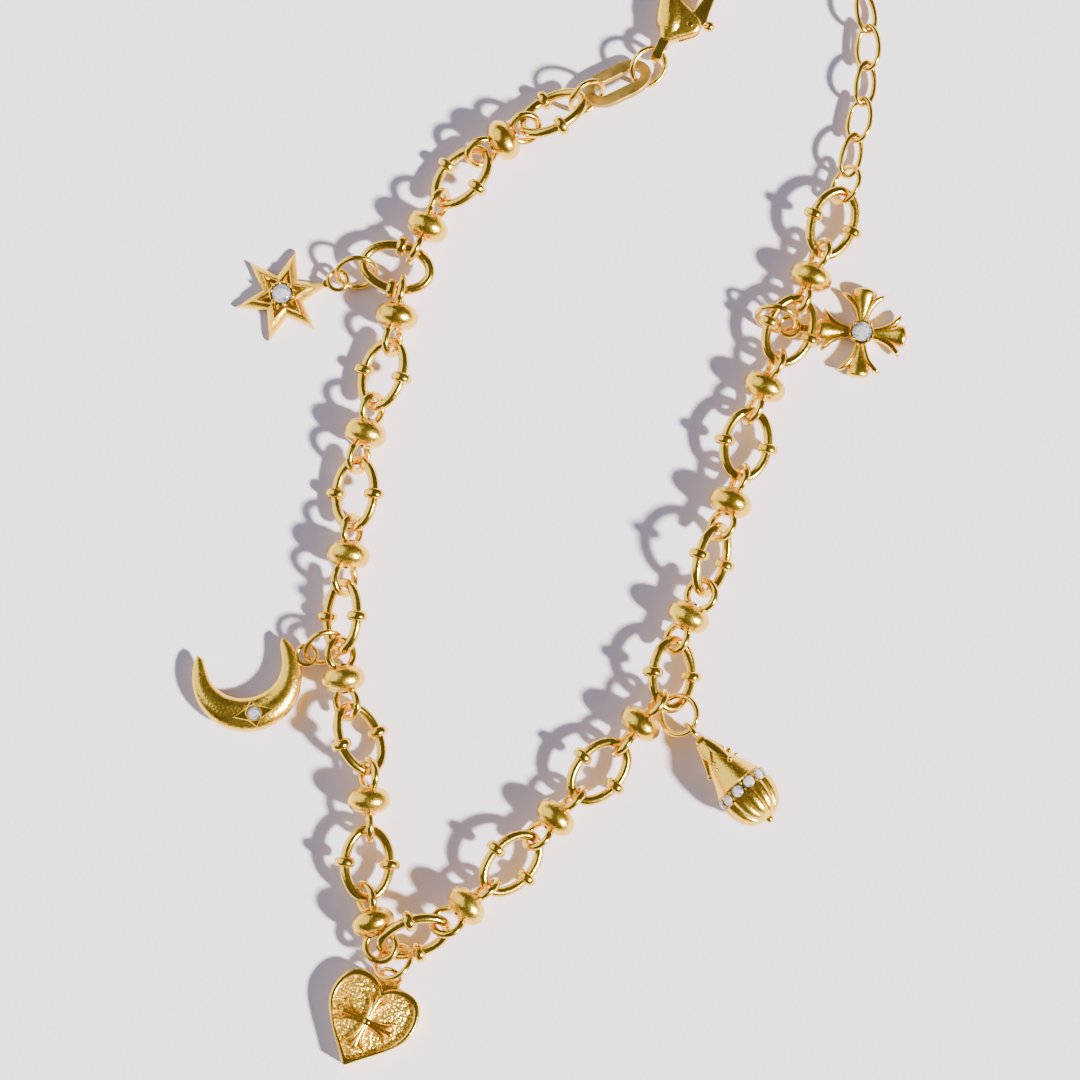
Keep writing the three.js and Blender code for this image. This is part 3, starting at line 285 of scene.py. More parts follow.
def extender_curve(fullness, steps=400):
    """Points of the extender's route, with the length of the way to each."""
    a = ring_end
    b = a + direction(EXTENDER_ROUTE["leaves"]) * fullness
    c = hook_inside - direction(EXTENDER_ROUTE["arrives"]) * fullness
    d = hook_inside
    points = []
    for step in range(steps + 1):
        t = step / steps
        u = 1 - t
        points.append(u**3 * a + 3 * u * u * t * b + 3 * u * t * t * c + t**3 * d)
    ways = [0]
    for before, after in zip(points, points[1:]):
        ways.append(ways[-1] + (after - before).length)
    return points, ways


# The fullness of the curve is halved towards the one that all the links just fill.
low, high = 1, extender_whole
for _ in range(30):
    middle = (low + high) / 2
    if extender_curve(middle)[1][-1] < extender_whole:
        low = middle
    else:
        high = middle
curve_points, curve_ways = extender_curve(low)


def on_extender(way):
    """The point of the route that lies so far along the row of links."""
    share = min(max(way / extender_whole, 0), 1) * curve_ways[-1]
    step = max(i for i, passed in enumerate(curve_ways[:-1]) if passed <= share)
    part = (share - curve_ways[step]) / (curve_ways[step + 1] - curve_ways[step])
    return curve_points[step].lerp(curve_points[step + 1], part)


EXTENDER = []
for number in range(EXTENDER_ROUTE["links"]):
    start = on_extender(number * extender_pitch)
    end = on_extender((number + 1) * extender_pitch + EXTENDER_WIRE)
    along = end - start
    roll = EXTENDER_ROUTE["roll"] if number % 2 == 0 else 10 - EXTENDER_ROUTE["roll"]
    if number == EXTENDER_ROUTE["links"] - 1:
        roll = EXTENDER_ROUTE["last_roll"]
    EXTENDER.append(pose(*(start + end) / 2, math.degrees(math.atan2(along.y, along.x)), 0, roll))
print("extender links", len(EXTENDER), "fullness", round(low, 2))

# %% [markdown]
# Each charm hangs on its own jump ring from a link and has slid down until it lies on the paper.
# Its ring fixes where its eye is, and its heading is that of the photo.

# %% Laying the charms
hung = {}
for name, ring in CHARM_RINGS.items():
    start = PLACES[ring["on"]] @ on_oval(ring["angle"])
    hung[name] = lay_ring(f"{name}_ring", start, (LINK_WIRE, CHARM_EYE_WIRE), **ring)


def lay_charm(name, reach, heading, seat=None):
    """Lays a charm on the surface, with its stone in its seat."""
    at = hung[name] + direction(CHARM_HEADINGS[name]) * reach
    charm = lay(f"{name}_charm", (at.x, at.y, 0), heading)
    if seat:
        lay(f"{name}_stone", charm @ Vector(seat), heading)


lay_charm("star", CHARM_EYE, CHARM_HEADINGS["star"], (STAR_RADIUS + CHARM_EYE, 0, STAR_HEIGHT + 0.12))
moon_reach = MOON_RADIUS + 2 * CHARM_EYE - MOON_EYE_SINK
moon_seat = (0, MOON_WIDTH / 2 - MOON_RADIUS, MOON_HEIGHT + 0.02)
lay_charm("moon", moon_reach, CHARM_HEADINGS["moon"] - 180 - MOON_EYE_TURN, moon_seat)
heart_eye_foot = HEART_NECK_LENGTH - 0.1
heart_reach = heart_eye_foot + 2 * CHARM_EYE * math.cos(math.radians(HEART_EYE_TILT))
lay_charm("heart", heart_reach, CHARM_HEADINGS["heart"] - 180)
cross_seat = (CROSS_REACH + CROSS_STEM_LENGTH + CHARM_EYE, 0, CROSS_THICKNESS + 0.15)
lay_charm("cross", CHARM_EYE, CHARM_HEADINGS["cross"], cross_seat)

# The bud leans on its widest part, below the height of its eye.
drop_at = hung["drop"] + direction(CHARM_HEADINGS["drop"]) * CHARM_EYE
drop_tilt = math.asin((DROP_RADIUS - CHARM_RINGS["drop"]["height"]) / DROP_BAND)
for name in ("drop_charm", "drop_stones"):
    lay(name, drop_at, CHARM_HEADINGS["drop"], math.degrees(drop_tilt))

# The plan is moved to where the frame has its plate link, from metres to millimetres.
low_corner, high_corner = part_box("tag_link")
tag_middle = [1000 * (low + high) / 2 for low, high in zip(low_corner, high_corner)]
home = move(*(Vector(tag_middle) - PLACES["tag_link"].translation))
PLACES = {name: home @ place for name, place in PLACES.items()}
EXTENDER = [home @ place for place in EXTENDER]
print("placed pieces", len(PLACES))

# %% [markdown]
# Materials are graphs of nodes. They could be wired one by one, but small wrappers make them
# easier to read: a Value stands for an output socket, so that shader maths reads as plain
# arithmetic, and Graph.node makes any node from its settings and its inputs.

# %% Shader helpers


class Value:
    def __init__(self, graph, socket):
        self.graph = graph
        self.socket = socket

    def maths(self, operation, *others):
        return self.graph.node("ShaderNodeMath", [self, *others], operation=operation)

    def __add__(self, other):
        return self.maths("ADD", other)

    def __sub__(self, other):
        return self.maths("SUBTRACT", other)

    def __mul__(self, other):
        return self.maths("MULTIPLY", other)

    def __rsub__(self, other):
        return self.graph.node("ShaderNodeMath", [other, self], operation="SUBTRACT")

    __radd__ = __add__
    __rmul__ = __mul__

    def clip(self, low, high):
        return self.maths("MAXIMUM", low).maths("MINIMUM", high)


class Graph:
    def __init__(self, name):
        self.material = bpy.data.materials.new(name)
        self.material.use_nodes = True
        self.tree = self.material.node_tree
        self.surface = self.tree.nodes["Principled BSDF"]
        self.position = self.node("ShaderNodeTexCoord", [], "Object")

    def node(self, kind, inputs, output=0, **settings):
        node = self.tree.nodes.new(kind)
        for key, value in settings.items():
            setattr(node, key, value)
        named = inputs.items() if isinstance(inputs, dict) else enumerate(inputs)
        for key, value in named:
            self.put(node.inputs[key], value)
        return Value(self, node.outputs[output])

    def put(self, socket, value):
        if isinstance(value, Value):
            self.tree.links.new(value.socket, socket)
        else:
            socket.default_value = value

    def noise(self, scale, detail=2.0, vector=None):
        inputs = {"Vector": vector or self.position, "Scale": scale, "Detail": detail}
        return self.node("ShaderNodeTexNoise", inputs)

    def stretched(self, place, scale):
        inputs = {"Vector": self.position, "Rotation": place, "Scale": scale}
        return self.node("ShaderNodeMapping", inputs)

    def blend(self, factor, first, second):
        inputs = {0: factor, 6: (*first, 1), 7: (*second, 1)}
        return self.node("ShaderNodeMix", inputs, 2, data_type="RGBA")

    def bump(self, height, distance, strength=1.0):
        inputs = {"Height": height, "Distance": distance, "Strength": strength}
        return self.node("ShaderNodeBump", inputs)

    def finish(self, **values):
        for key, value in values.items():
            self.put(self.surface.inputs[key.replace("_", " ")], value)
        return self.material


print("sums made by", [name for name in vars(Value) if "add" in name])

# %% [markdown]
# The metal is a warm yellow gold plating with a soft polish. A single colour and roughness would
# look like plastic, so broad noise mixes a lighter and a deeper gold, and fine noise breaks up
# the reflections a little. Links and rings are polished brighter than the beads and charms.

# %% Gold


def gold(name, light, dark, rough, spread, bump):
    graph = Graph(name)
    broad = graph.noise(420, 3)
    fine = graph.noise(4800, 2)
    colour = graph.blend((broad - 0.35) * 2.2, dark, light)
    roughness = rough + (broad - 0.5) * spread + (fine - 0.5) * spread
    return graph.finish(
        Base_Color=colour,
        Metallic=1.0,
        Roughness=roughness.clip(0.05, 0.9),
        Normal=graph.bump(fine, 0.00003, bump),
    )


SATIN = gold("satin_gold", (1.0, 0.685, 0.07), (0.94, 0.58, 0.045), 0.24, 0.16, 1.0)
POLISHED = gold("polished_gold", (1.0, 0.695, 0.075), (0.95, 0.60, 0.05), 0.16, 0.12, 0.5)
print("golds", SATIN.name, POLISHED.name)

# %% [markdown]
# Two faces are not smooth. The plate link is coarse and dull with marks across it, and the
# heart's sunk field is covered with small round grains. The grains could be modelled, but they
# are far too many, so a cell pattern raises them in the shading, with a painted highlight on
# each grain's top and painted shade in the gaps between them.

# %% Coarse golds


def rough_gold():
    """The plate link: a coarse, dull face with marks across it."""
    graph = Graph("rough_gold")
    along = graph.stretched((0, 0, math.radians(-26)), (1500, 5200, 3000))
    brushed = graph.node("ShaderNodeTexNoise", {"Vector": along, "Scale": 1.0, "Detail": 3.0})
    mottle = graph.noise(900, 4)
    colour = graph.blend((mottle - 0.3) * 2.0, (0.36, 0.21, 0.035), (0.74, 0.48, 0.09))
    return graph.finish(
        Base_Color=colour,
        Metallic=1.0,
        Roughness=(0.22 + mottle * 0.3 + brushed * 0.2).clip(0.2, 0.9),
        Normal=graph.bump(brushed * 0.6 + mottle * 0.4, 0.00008, 0.55),
    )


def grained_gold():
    """The heart's sunk field: small round grains standing close together."""
    graph = Graph("grained_gold")
    grain = graph.node("ShaderNodeTexVoronoi", {"Vector": graph.position, "Scale": 3600.0}, "Distance")
    dome = (1 - grain).clip(0, 1)
    # The colour follows each grain's height: a painted highlight on its top and painted shade in the gaps
    # between the grains.
    colour = graph.blend(dome * 1.8 - 0.8, (0.80, 0.50, 0.05), (1.0, 0.74, 0.14))
    return graph.finish(
        Base_Color=colour, Metallic=1.0, Roughness=0.36, Normal=graph.bump(dome, 0.00016, 0.75),
    )


ROUGH = rough_gold()
GRAINED = grained_gold()
print("coarse golds", ROUGH.name, GRAINED.name)

# %% [markdown]
# The stones are clear, round and cut with facets. Real ones flash because light bounces inside
# them. That needs many light paths, so part of the flash is painted: glints of blue-grey and
# white that change with the place and with the facet, under partly clear glass.

# %% Stones


def stone(name, clearness):
    """A clear cut stone: blue-grey and white glints, as light crosses its back facets."""
    graph = Graph(name)
    by_place = graph.node("ShaderNodeTexVoronoi", {"Vector": graph.position, "Scale": 3800.0}, "Color")
    facet = graph.node("ShaderNodeNewGeometry", [], "True Normal")
    by_facet = graph.node("ShaderNodeTexVoronoi", {"Vector": facet, "Scale": 7.0}, "Color")
    glint = by_place * 0.5 + by_facet * 0.5
    return graph.finish(
        Base_Color=graph.blend((glint - 0.36) * 4.0, (0.22, 0.28, 0.46), (1.0, 1.0, 1.0)),
        Roughness=(glint * 0.02).clip(0.0, 0.02),
        IOR=2.15,
        Transmission_Weight=clearness,
    )


STONE = stone("clear_stone", 0.62)
SMALL_STONE = stone("small_clear_stone", 0.55)
print("stones", STONE.name, SMALL_STONE.name)

# %% [markdown]
# Every link, eye and ring is a round wire bent into a closed loop. A torus would do for the
# round ones only, so one Geometry Nodes tree sweeps a round wire along an oval path, narrower
# at one end if it swells, and is used for all of them.

# %% Wire loops


def loop_tree():
    tree = bpy.data.node_groups.new("Wire loop", "GeometryNodeTree")
    face = tree.interface
    face.new_socket("Geometry", in_out="OUTPUT", socket_type="NodeSocketGeometry")
    sizes = ("Length", "Width", "Wire", "Swell")
    for name in sizes:
        face.new_socket(name, in_out="INPUT", socket_type="NodeSocketFloat")
    face.new_socket("Material", in_out="INPUT", socket_type="NodeSocketMaterial")
    new, link = tree.nodes.new, tree.links.new
    given = new("NodeGroupInput")

    def maths(operation, a, b=0.0):
        node = new("ShaderNodeMath")
        node.operation = operation
        for socket, value in zip(node.inputs, (a, b)):
            if isinstance(value, (int, float)):
                socket.default_value = value
            else:
                link(value, socket)
        return node.outputs[0]

    circle = new("GeometryNodeCurvePrimitiveCircle")
    circle.inputs["Resolution"].default_value = 72
    circle.inputs["Radius"].default_value = 1.0
    split = new("ShaderNodeSeparateXYZ")
    link(new("GeometryNodeInputPosition").outputs[0], split.inputs[0])
    half_length = maths("MULTIPLY", maths("SUBTRACT", given.outputs["Length"], given.outputs["Wire"]), 0.5)
    half_width = maths("MULTIPLY", maths("SUBTRACT", given.outputs["Width"], given.outputs["Wire"]), 0.5)
    fullness = maths("ADD", maths("MULTIPLY", split.outputs[0], given.outputs["Swell"]), 1.0)
    joined = new("ShaderNodeCombineXYZ")
    link(maths("MULTIPLY", split.outputs[0], half_length), joined.inputs[0])
    link(maths("MULTIPLY", maths("MULTIPLY", split.outputs[1], half_width), fullness), joined.inputs[1])
    laid = new("GeometryNodeSetPosition")
    link(circle.outputs[0], laid.inputs["Geometry"])
    link(joined.outputs[0], laid.inputs["Position"])
    wire = new("GeometryNodeCurvePrimitiveCircle")
    wire.inputs["Resolution"].default_value = 16
    link(maths("MULTIPLY", given.outputs["Wire"], 0.5), wire.inputs["Radius"])
    swept = new("GeometryNodeCurveToMesh")
    link(laid.outputs[0], swept.inputs["Curve"])
    link(wire.outputs[0], swept.inputs["Profile Curve"])
    smooth = new("GeometryNodeSetShadeSmooth")
    link(swept.outputs[0], smooth.inputs["Geometry"])
    real = new("GeometryNodeRealizeInstances")
    link(smooth.outputs[0], real.inputs[0])
    painted = new("GeometryNodeSetMaterial")
    link(real.outputs[0], painted.inputs["Geometry"])
    link(given.outputs["Material"], painted.inputs["Material"])
    link(painted.outputs[0], new("NodeGroupOutput").inputs[0])
    return tree


LOOP = loop_tree()
made_loops = {}


def add(name, data):
    item = bpy.data.objects.new(name, data)
    bpy.context.collection.objects.link(item)
    return item


def evaluated(item):
    """The mesh of an object with its modifiers or its curve worked out."""
    depsgraph = bpy.context.evaluated_depsgraph_get()
    return bpy.data.meshes.new_from_object(item.evaluated_get(depsgraph))


def wire_loop(length, width, wire, swell=0.0, material=None):
    key = (length, width, wire, swell, material)
    if key not in made_loops:
        holder = add("loop", bpy.data.meshes.new("loop"))
        made = holder.modifiers.new("Loop", "NODES")
        made.node_group = LOOP
        values = {"Length": length, "Width": width, "Wire": wire, "Swell": swell}
        values["Material"] = material or SATIN
        for item in LOOP.interface.items_tree:
            if item.in_out == "INPUT":
                made[item.identifier] = values[item.name]
        made_loops[key] = evaluated(holder)
        bpy.data.objects.remove(holder)
    return made_loops[key]


def wire_ring(diameter, wire, material=None):
    return wire_loop(diameter, diameter, wire, 0.0, material)


print("loop faces", len(wire_loop(LINK_LENGTH, LINK_WIDTH, LINK_WIRE).polygons))

# %% [markdown]
# Cast parts are smooth bodies with changing sections. They could be sculpted, but rings of
# points joined by a skin repeat exactly, and a turned part is the same skin over circles.

# %% Skins over rings


def finished(mesh, material, smooth=True):
    mesh.materials.clear()
    mesh.materials.append(material)
    for face in mesh.polygons:
        face.use_smooth = smooth
        face.material_index = 0
    return mesh


def welded(mesh, distance):
    """Joins points that lie together and turns all faces outwards."""
    whole = bmesh.new()
    whole.from_mesh(mesh)
    bmesh.ops.remove_doubles(whole, verts=whole.verts, dist=distance)
    bmesh.ops.recalc_face_normals(whole, faces=whole.faces)
    whole.to_mesh(mesh)
    whole.free()
    return mesh


def angles_round(count, turn=0.0):
    return [2 * math.pi * (number + turn) / count for number in range(count)]


def loft(rings, material=None, smooth=True):
    """A skin over rings of points, closed at both ends."""
    sides = len(rings[0])
    points = [Vector(p) for ring in rings for p in ring]
    faces = []
    for r in range(len(rings) - 1):
        for s in range(sides):
            a, b = r * sides + s, r * sides + (s + 1) % sides
            faces.append((a, b, b + sides, a + sides))
    faces.append(tuple(reversed(range(sides))))
    faces.append(tuple(range(len(points) - sides, len(points))))
    mesh = bpy.data.meshes.new("loft")
    mesh.from_pydata(points, [], faces)
    return finished(welded(mesh, 1e-5), material or SATIN, smooth)


def turned(profile, sides=40, material=None, smooth=True):
    """A turned piece about X, from pairs of length and radius."""
    rings = []
    for along, radius in profile:
        reach = max(radius, 1e-4)
        rings.append([(along, reach * math.cos(a), reach * math.sin(a)) for a in angles_round(sides)])
    return loft(rings, material, smooth)


def rounded(half, radius, edge, steps=5):
    """The profile of a disc with rounded rims, for turned()."""
    rim = []
    for step in range(steps + 1):
        angle = math.pi / 2 * step / steps
        rim.append((-half + edge - edge * math.cos(angle), radius - edge + edge * math.sin(angle)))
    return [(-half, 0), *rim, *[(-x, r) for x, r in reversed(rim)], (half, 0)]


print("steps of a rounded rim", len(rounded(1, 1, 0.1)))

# %% [markdown]
# Flat parts are cut from sheet and tumbled, so their edges are round. An extruded outline with a
# modifier could do it, but a filled 2D curve has holes and rounded edges built in.

# %% Plates


def plate(outlines, thickness, edge, material=None, smooth=True):
    """A flat plate in XY from its outline and its holes, with rounded edges."""
    curve = bpy.data.curves.new("plate", "CURVE")
    curve.dimensions = "2D"
    curve.fill_mode = "BOTH"
    curve.extrude = thickness / 2 - edge
    curve.bevel_depth = edge
    curve.bevel_resolution = 2
    curve.offset = -edge
    for outline in outlines:
        spline = curve.splines.new("POLY")
        spline.points.add(len(outline) - 1)
        for point, (x, y) in zip(spline.points, outline):
            point.co = (x, y, 0, 1)
        spline.use_cyclic_u = True
    holder = add("plate", curve)
    mesh = evaluated(holder)
    bpy.data.objects.remove(holder)
    return finished(welded(mesh, 1e-4), material or SATIN, smooth)


def rectangle(left, right, width, y=0.0):
    low, high = y - width / 2, y + width / 2
    return [(left, low), (right, low), (right, high), (left, high)]


def slot(length, width, roundness, steps=16):
    """An outline with two straight sides, whose ends are arcs of the given roundness."""
    end = width / 2 * roundness
    straight = length / 2 - end
    points = []
    for side, start in ((1, -90), (-1, 90)):
        for step in range(steps + 1):
            angle = math.radians(start + 180 * step / steps)
            points.append((side * straight + end * math.cos(angle), width / 2 * math.sin(angle)))
    return points


def bezier(start, *curves, steps=10):
    """An outline through curves of two handles and an end each."""
    points = [start]
    for a, b, c in curves:
        p = points[-1]
        for step in range(1, steps + 1):
            t = step / steps
            u = 1 - t
            points.append(tuple(
                u**3 * p[i] + 3 * u * u * t * a[i] + 3 * u * t * t * b[i] + t**3 * c[i] for i in (0, 1)
            ))
    return points[:-1] if math.dist(points[0], points[-1]) < 1e-4 else points


print("points of a round slot", len(slot(2, 1, 1)))

# %% [markdown]
# A cut stone is the smallest flat-sided body round its corners, so its corners are enough: rings of
# them for the table, the crown, the girdle and the point. Its faces stay flat, which makes the
# facets. The same hull, smoothed, makes the clasp's rounded shell.

# %% Hulls, balls and cut stones


def hull(points, material=None, smooth=False):
    whole = bmesh.new()
    for point in points:
        whole.verts.new(point)
    bmesh.ops.convex_hull(whole, input=whole.verts)
    bmesh.ops.recalc_face_normals(whole, faces=whole.faces)
    mesh = bpy.data.meshes.new("hull")
    whole.to_mesh(mesh)
    whole.free()
    return finished(mesh, material or SATIN, smooth)


def ball(radius, material=None):
    angles = [math.pi * number / 12 for number in range(13)]
    profile = [(-radius * math.cos(a), radius * math.sin(a)) for a in angles]
    return turned(profile, 20, material)


def brilliant(diameter, material=None):
    """A round brilliant: table up, girdle at height 0, eight main facets."""
    r = diameter / 2

    def circle(count, reach, height, turn=0.0):
        angles = angles_round(count, turn)
        return [(r * reach * math.cos(a), r * reach * math.sin(a), r * height) for a in angles]

    return hull([
        *circle(8, 0.56, 0.34, 0.5), *circle(8, 0.80, 0.235), *circle(16, 1.0, 0.04, 0.5),
        *circle(16, 0.995, -0.05, 0.5), *circle(8, 0.60, -0.44), (0, 0, -0.78 * r),
    ], material or STONE)


print("faces of a cut stone", len(brilliant(1).polygons))

# %% [markdown]
# A charm is soldered from parts and has seats drilled for its stones. The parts are joined into
# one mesh that keeps their materials, and a seat is cut by a boolean modifier, because a hole
# drawn by hand would have to follow every curve of the face.

# %% Joining and cutting


def merge(*placed):
    """Joins pairs of mesh and matrix into one mesh that keeps their materials."""
    slots = []
    whole = bmesh.new()
    for mesh, matrix in placed:
        copy = mesh.copy()
        copy.transform(matrix)
        if matrix.determinant() < 0:
            copy.flip_normals()
        start = len(whole.faces)
        whole.from_mesh(copy)
        whole.faces.ensure_lookup_table()
        material = mesh.materials[0]
        if material not in slots:
            slots.append(material)
        for face in whole.faces[start:]:
            face.material_index = slots.index(material)
    made = bpy.data.meshes.new("merged")
    whole.to_mesh(made)
    whole.free()
    for material in slots:
        made.materials.append(material)
    return made


def cut(mesh, tool):
    """The mesh less the tool."""
    pair = [add("cut", data) for data in (mesh, tool)]
    modifier = pair[0].modifiers.new("Cut", "BOOLEAN")
    modifier.operation = "DIFFERENCE"
    modifier.solver = "EXACT"
    modifier.use_self = True
    modifier.object = pair[1]
    made = evaluated(pair[0])
    for item in pair:
        bpy.data.objects.remove(item)
    return made


print("materials of a joined pair", len(merge((ball(1), HERE), (ball(1, ROUGH), HERE)).materials))

# %% [markdown]
# Every finished piece stands for one CAD solid. It is turned into metres at its place, takes the
# solid's body, and its box is compared with the solid's, so that a wrong size shows as a printed
# line.

# %% Placing a piece
METRES_PER_MILLIMETRE = 0.001
SIZE_TOLERANCE = 0.25


def build(node, *parts, material_slot="gold"):
    """Places a finished piece for one CAD node and compares its box with that node's."""
    matrix = stretch(*[METRES_PER_MILLIMETRE] * 3) @ PLACES.get(node, HERE)
    mesh = merge(*[(part, matrix @ local) for part, local in parts])
    mesh.set_sharp_from_angle(angle=math.radians(34))
    piece = add(node + "_fine", mesh)
    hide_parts(node)
    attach(piece, "lever" if node == "clasp_lever" else "bracelet")
    for axis, low, high in zip(range(3), *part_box(node)):
        places = [vertex.co[axis] for vertex in mesh.vertices]
        for mine, cad in ((min(places), low), (max(places), high)):
            off = (mine - cad) / METRES_PER_MILLIMETRE
            if abs(off) > SIZE_TOLERANCE:
                print("size", node, "xyz"[axis], round(off, 2), "mm")


print("pieces may be off by", SIZE_TOLERANCE, "mm")

# %% [markdown]
# An oval link is polished wire with a round collar slid onto each long side. All links are alike,
# so one wire and one collar are made once and placed sixteen times.

# %% Links
collar = turned(rounded(COLLAR_THICKNESS / 2, COLLAR_DIAMETER / 2, 0.38, 8), 32, POLISHED)
link_wire = wire_loop(LINK_LENGTH + 0.04, LINK_WIDTH + 0.04, LINK_WIRE + 0.05, 0.0, POLISHED)
collar_places = [move(*on_oval(angle)) for angle in (90, -90)]
rows = [LOWEST_LINK, *LEFT_STRAND, *RIGHT_STRAND]
link_numbers = sorted(row["link"] for row in rows if "link" in row)
for number in link_numbers:
    build(f"link_{number:02d}", (link_wire, HERE), *[(collar, place) for place in collar_places])
print("links", len(link_numbers))

# %% [markdown]
# A bead is a flattened ball with a wire eye soldered to both ends. Its profile is an ellipse made
# fuller by a power below 1, and a scaled sphere would look too thin at its shoulders. The two
# eyes are turned as the links beside them need.

# %% Beads
bead_profile = []
for row in range(33):
    angle = math.pi * row / 32
    along = -BEAD_THICKNESS / 2 * math.cos(angle)
    bead_profile.append((along, BEAD_DIAMETER / 2 * math.sin(angle) ** 0.72))
bead = turned(bead_profile, 48, SATIN)
eye_length = EYE_REACH + EYE_SINK + EYE_WIRE / 2
eye_centre = BEAD_THICKNESS / 2 + EYE_REACH - eye_length / 2
eye = wire_loop(eye_length + 0.04, EYE_WIDTH + 0.04, EYE_WIRE + 0.07, 0.0, POLISHED)
foot = turned(rounded(0.14, 0.62, 0.08, 3), 20, POLISHED)
bead_rows = sorted((row for row in rows if "bead" in row), key=lambda row: row["bead"])
for row in bead_rows:
    build(
        f"bead_{row['bead']:02d}",
        (bead, HERE),
        (eye, spin(row["far"], "X") @ move(x=eye_centre)),
        (eye, spin(row["near"], "X") @ spin(180, "Z") @ move(x=eye_centre)),
        (foot, move(x=1.2)),
        (foot, move(x=-1.2)),
    )
print("beads", len(bead_rows))

# %% [markdown]
# A jump ring is a plain round of thinner wire. Eight of them join the fittings and the charms to
# the chain.

# %% Jump rings
ring = wire_ring(RING_DIAMETER, RING_WIRE, POLISHED)
for name in ("tag", "clasp", "extender", *CHARM_RINGS):
    build(f"{name}_ring", (ring, HERE))
print("rings", 3 + len(CHARM_RINGS))

# %% [markdown]
# The plate link is a flat stamping with a long slot, coarser than the rest. The extender is a row
# of light links, narrower at one end, which are welded shut. Their places come from the route.

# %% Plate link and extender
tag_slot = slot(TAG_LENGTH - 2 * TAG_BAND, 1.35, 1.0)
tag_plate = plate([slot(TAG_LENGTH, TAG_WIDTH, 1.2), tag_slot], TAG_THICKNESS, 0.1, ROUGH)
build("tag_link", (tag_plate, HERE), material_slot="brushed_gold")

link_reach = EXTENDER_LENGTH + EXTENDER_WELD
extender_link = wire_loop(link_reach, EXTENDER_WIDTH, EXTENDER_WIRE, -0.12, POLISHED)
build("extender_chain", *[(extender_link, place) for place in EXTENDER])
print("extender links", len(EXTENDER))

# %% [markdown]
# The clasp's body is one casting whose section grows and shrinks on its way round the hook. A
# bevelled curve has one radius only, so a skin goes over rings whose width and height come from
# a table with a row for each stretch, with a smooth curve through the rows.

# %% Curved bars
PIVOT = Vector((CLASP_LENGTH * 0.2925, 1.15 - CLASP_WIDTH / 2, 0))
hook_side = (CLASP_WIDTH - HOOK_WIDTH) / 2
hook_far = CLASP_LENGTH - HOOK_WIDTH / 2

# Along the body and round the hook: x, y, width and height.
CLASP_PATH = [
    (CLASP_LENGTH * 0.085, 0, CLASP_BODY * 0.36, CLASP_BODY * 0.5),
    (CLASP_LENGTH * 0.2075, 0.05, CLASP_BODY, CLASP_BODY),
    (CLASP_LENGTH * 0.349, hook_side * 0.35, CLASP_BODY, CLASP_BODY),
    (CLASP_LENGTH * 0.5, hook_side * 0.8, CLASP_BODY * 0.55, CLASP_BODY * 0.8),
    (CLASP_LENGTH * 0.66, hook_side, HOOK_WIDTH * 1.1, HOOK_HEIGHT * 1.5),
    (hook_far - 1.6, hook_side * 0.9, HOOK_WIDTH, HOOK_HEIGHT * 1.1),
    (hook_far - 0.45, hook_side * 0.48, HOOK_WIDTH, HOOK_HEIGHT),
    (hook_far, -hook_side * 0.1, HOOK_WIDTH, HOOK_HEIGHT),
    (hook_far - 0.5, -hook_side * 0.62, HOOK_WIDTH, HOOK_HEIGHT),
    (hook_far - 1.5, -hook_side * 0.93, HOOK_WIDTH, HOOK_HEIGHT),
    (CLASP_LENGTH - 2.9, -hook_side, HOOK_WIDTH * 0.85, HOOK_HEIGHT),
]

# The shell round the pivot goes over four discs with rounded rims: x, y and radius of each,
# then how far in a rim stands at each height.
SHELL_DISCS = [(1.35, -0.05, 0.72), (3.0, 0.3, 1.1), (4.3, 0.75, 0.7), (PIVOT.x, PIVOT.y, 1.05)]
SHELL_RIM = [(0, 0.3), (0.03, 0.62), (0.12, 0.83), (0.26, 0.95), (0.44, 1.0)]


def smooth_path(rows, steps=5):
    """Rows at even steps between the given ones, on a curve through them all."""
    made = []
    for i in range(len(rows) - 1):
        a, b, c, d = (rows[max(0, min(len(rows) - 1, i + k))] for k in (-1, 0, 1, 2))
        for step in range(steps):
            t = step / steps
            made.append(tuple(
                0.5 * (2 * q + (r - p) * t + (2 * p - 5 * q + 4 * r - s) * t * t
                       + (3 * q - p - 3 * r + s) * t**3)
                for p, q, r, s in zip(a, b, c, d)
            ))
    return [*made, rows[-1]]


def bar(rows, sides=24, material=None):
    """A curved bar in XY, from rows of x, y, width and height."""
    path = smooth_path(rows)
    rings = []
    for i, (x, y, width, height) in enumerate(path):
        before, after = path[max(i - 1, 0)], path[min(i + 1, len(path) - 1)]
        along = Vector((after[0] - before[0], after[1] - before[1], 0)).normalized()
        across = Vector((-along.y, along.x, 0))
        rings.append([
            Vector((x, y, 0)) + across * (width / 2 * math.cos(a)) + Vector((0, 0, height / 2 * math.sin(a)))
            for a in angles_round(sides)
        ])
    return loft(rings, material or POLISHED)


print("rows of the clasp", len(CLASP_PATH))

# %% [markdown]
# Round the pivot the body swells into a smooth shell with a slot for the lever. The shell is a
# hull over discs, cut by a flat tool, and a pin and a tail eye are added.

# %% Clasp body
upright = spin(90, "Y")
hinge = move(*PIVOT)
shell_points = []
for x, y, reach in SHELL_DISCS:
    for inset, height in SHELL_RIM:
        for angle in angles_round(40):
            spot = (x + (reach - inset) * math.cos(angle), y + (reach - inset) * math.sin(angle))
            shell_points += [(*spot, height), (*spot, -height)]
shell = hull(shell_points, SATIN, True)
lever_space = LEVER_THICKNESS + 2 * HINGE_GAP
slot_outline = rectangle(PIVOT.x - 1.7, PIVOT.x + 1.7, 3, PIVOT.y - 0.42)
slot_tool = plate([slot_outline], lever_space, 0.01, POLISHED, False)
pin = turned(rounded(1.06, PIVOT_DIAMETER / 2, 0.08), 20, POLISHED)
tail_hole = slot(TAIL_LENGTH - 0.62, TAIL_HEIGHT - 0.62, 1)
strap = plate([slot(TAIL_LENGTH, TAIL_HEIGHT, 1), tail_hole], 0.9, 0.06, POLISHED)
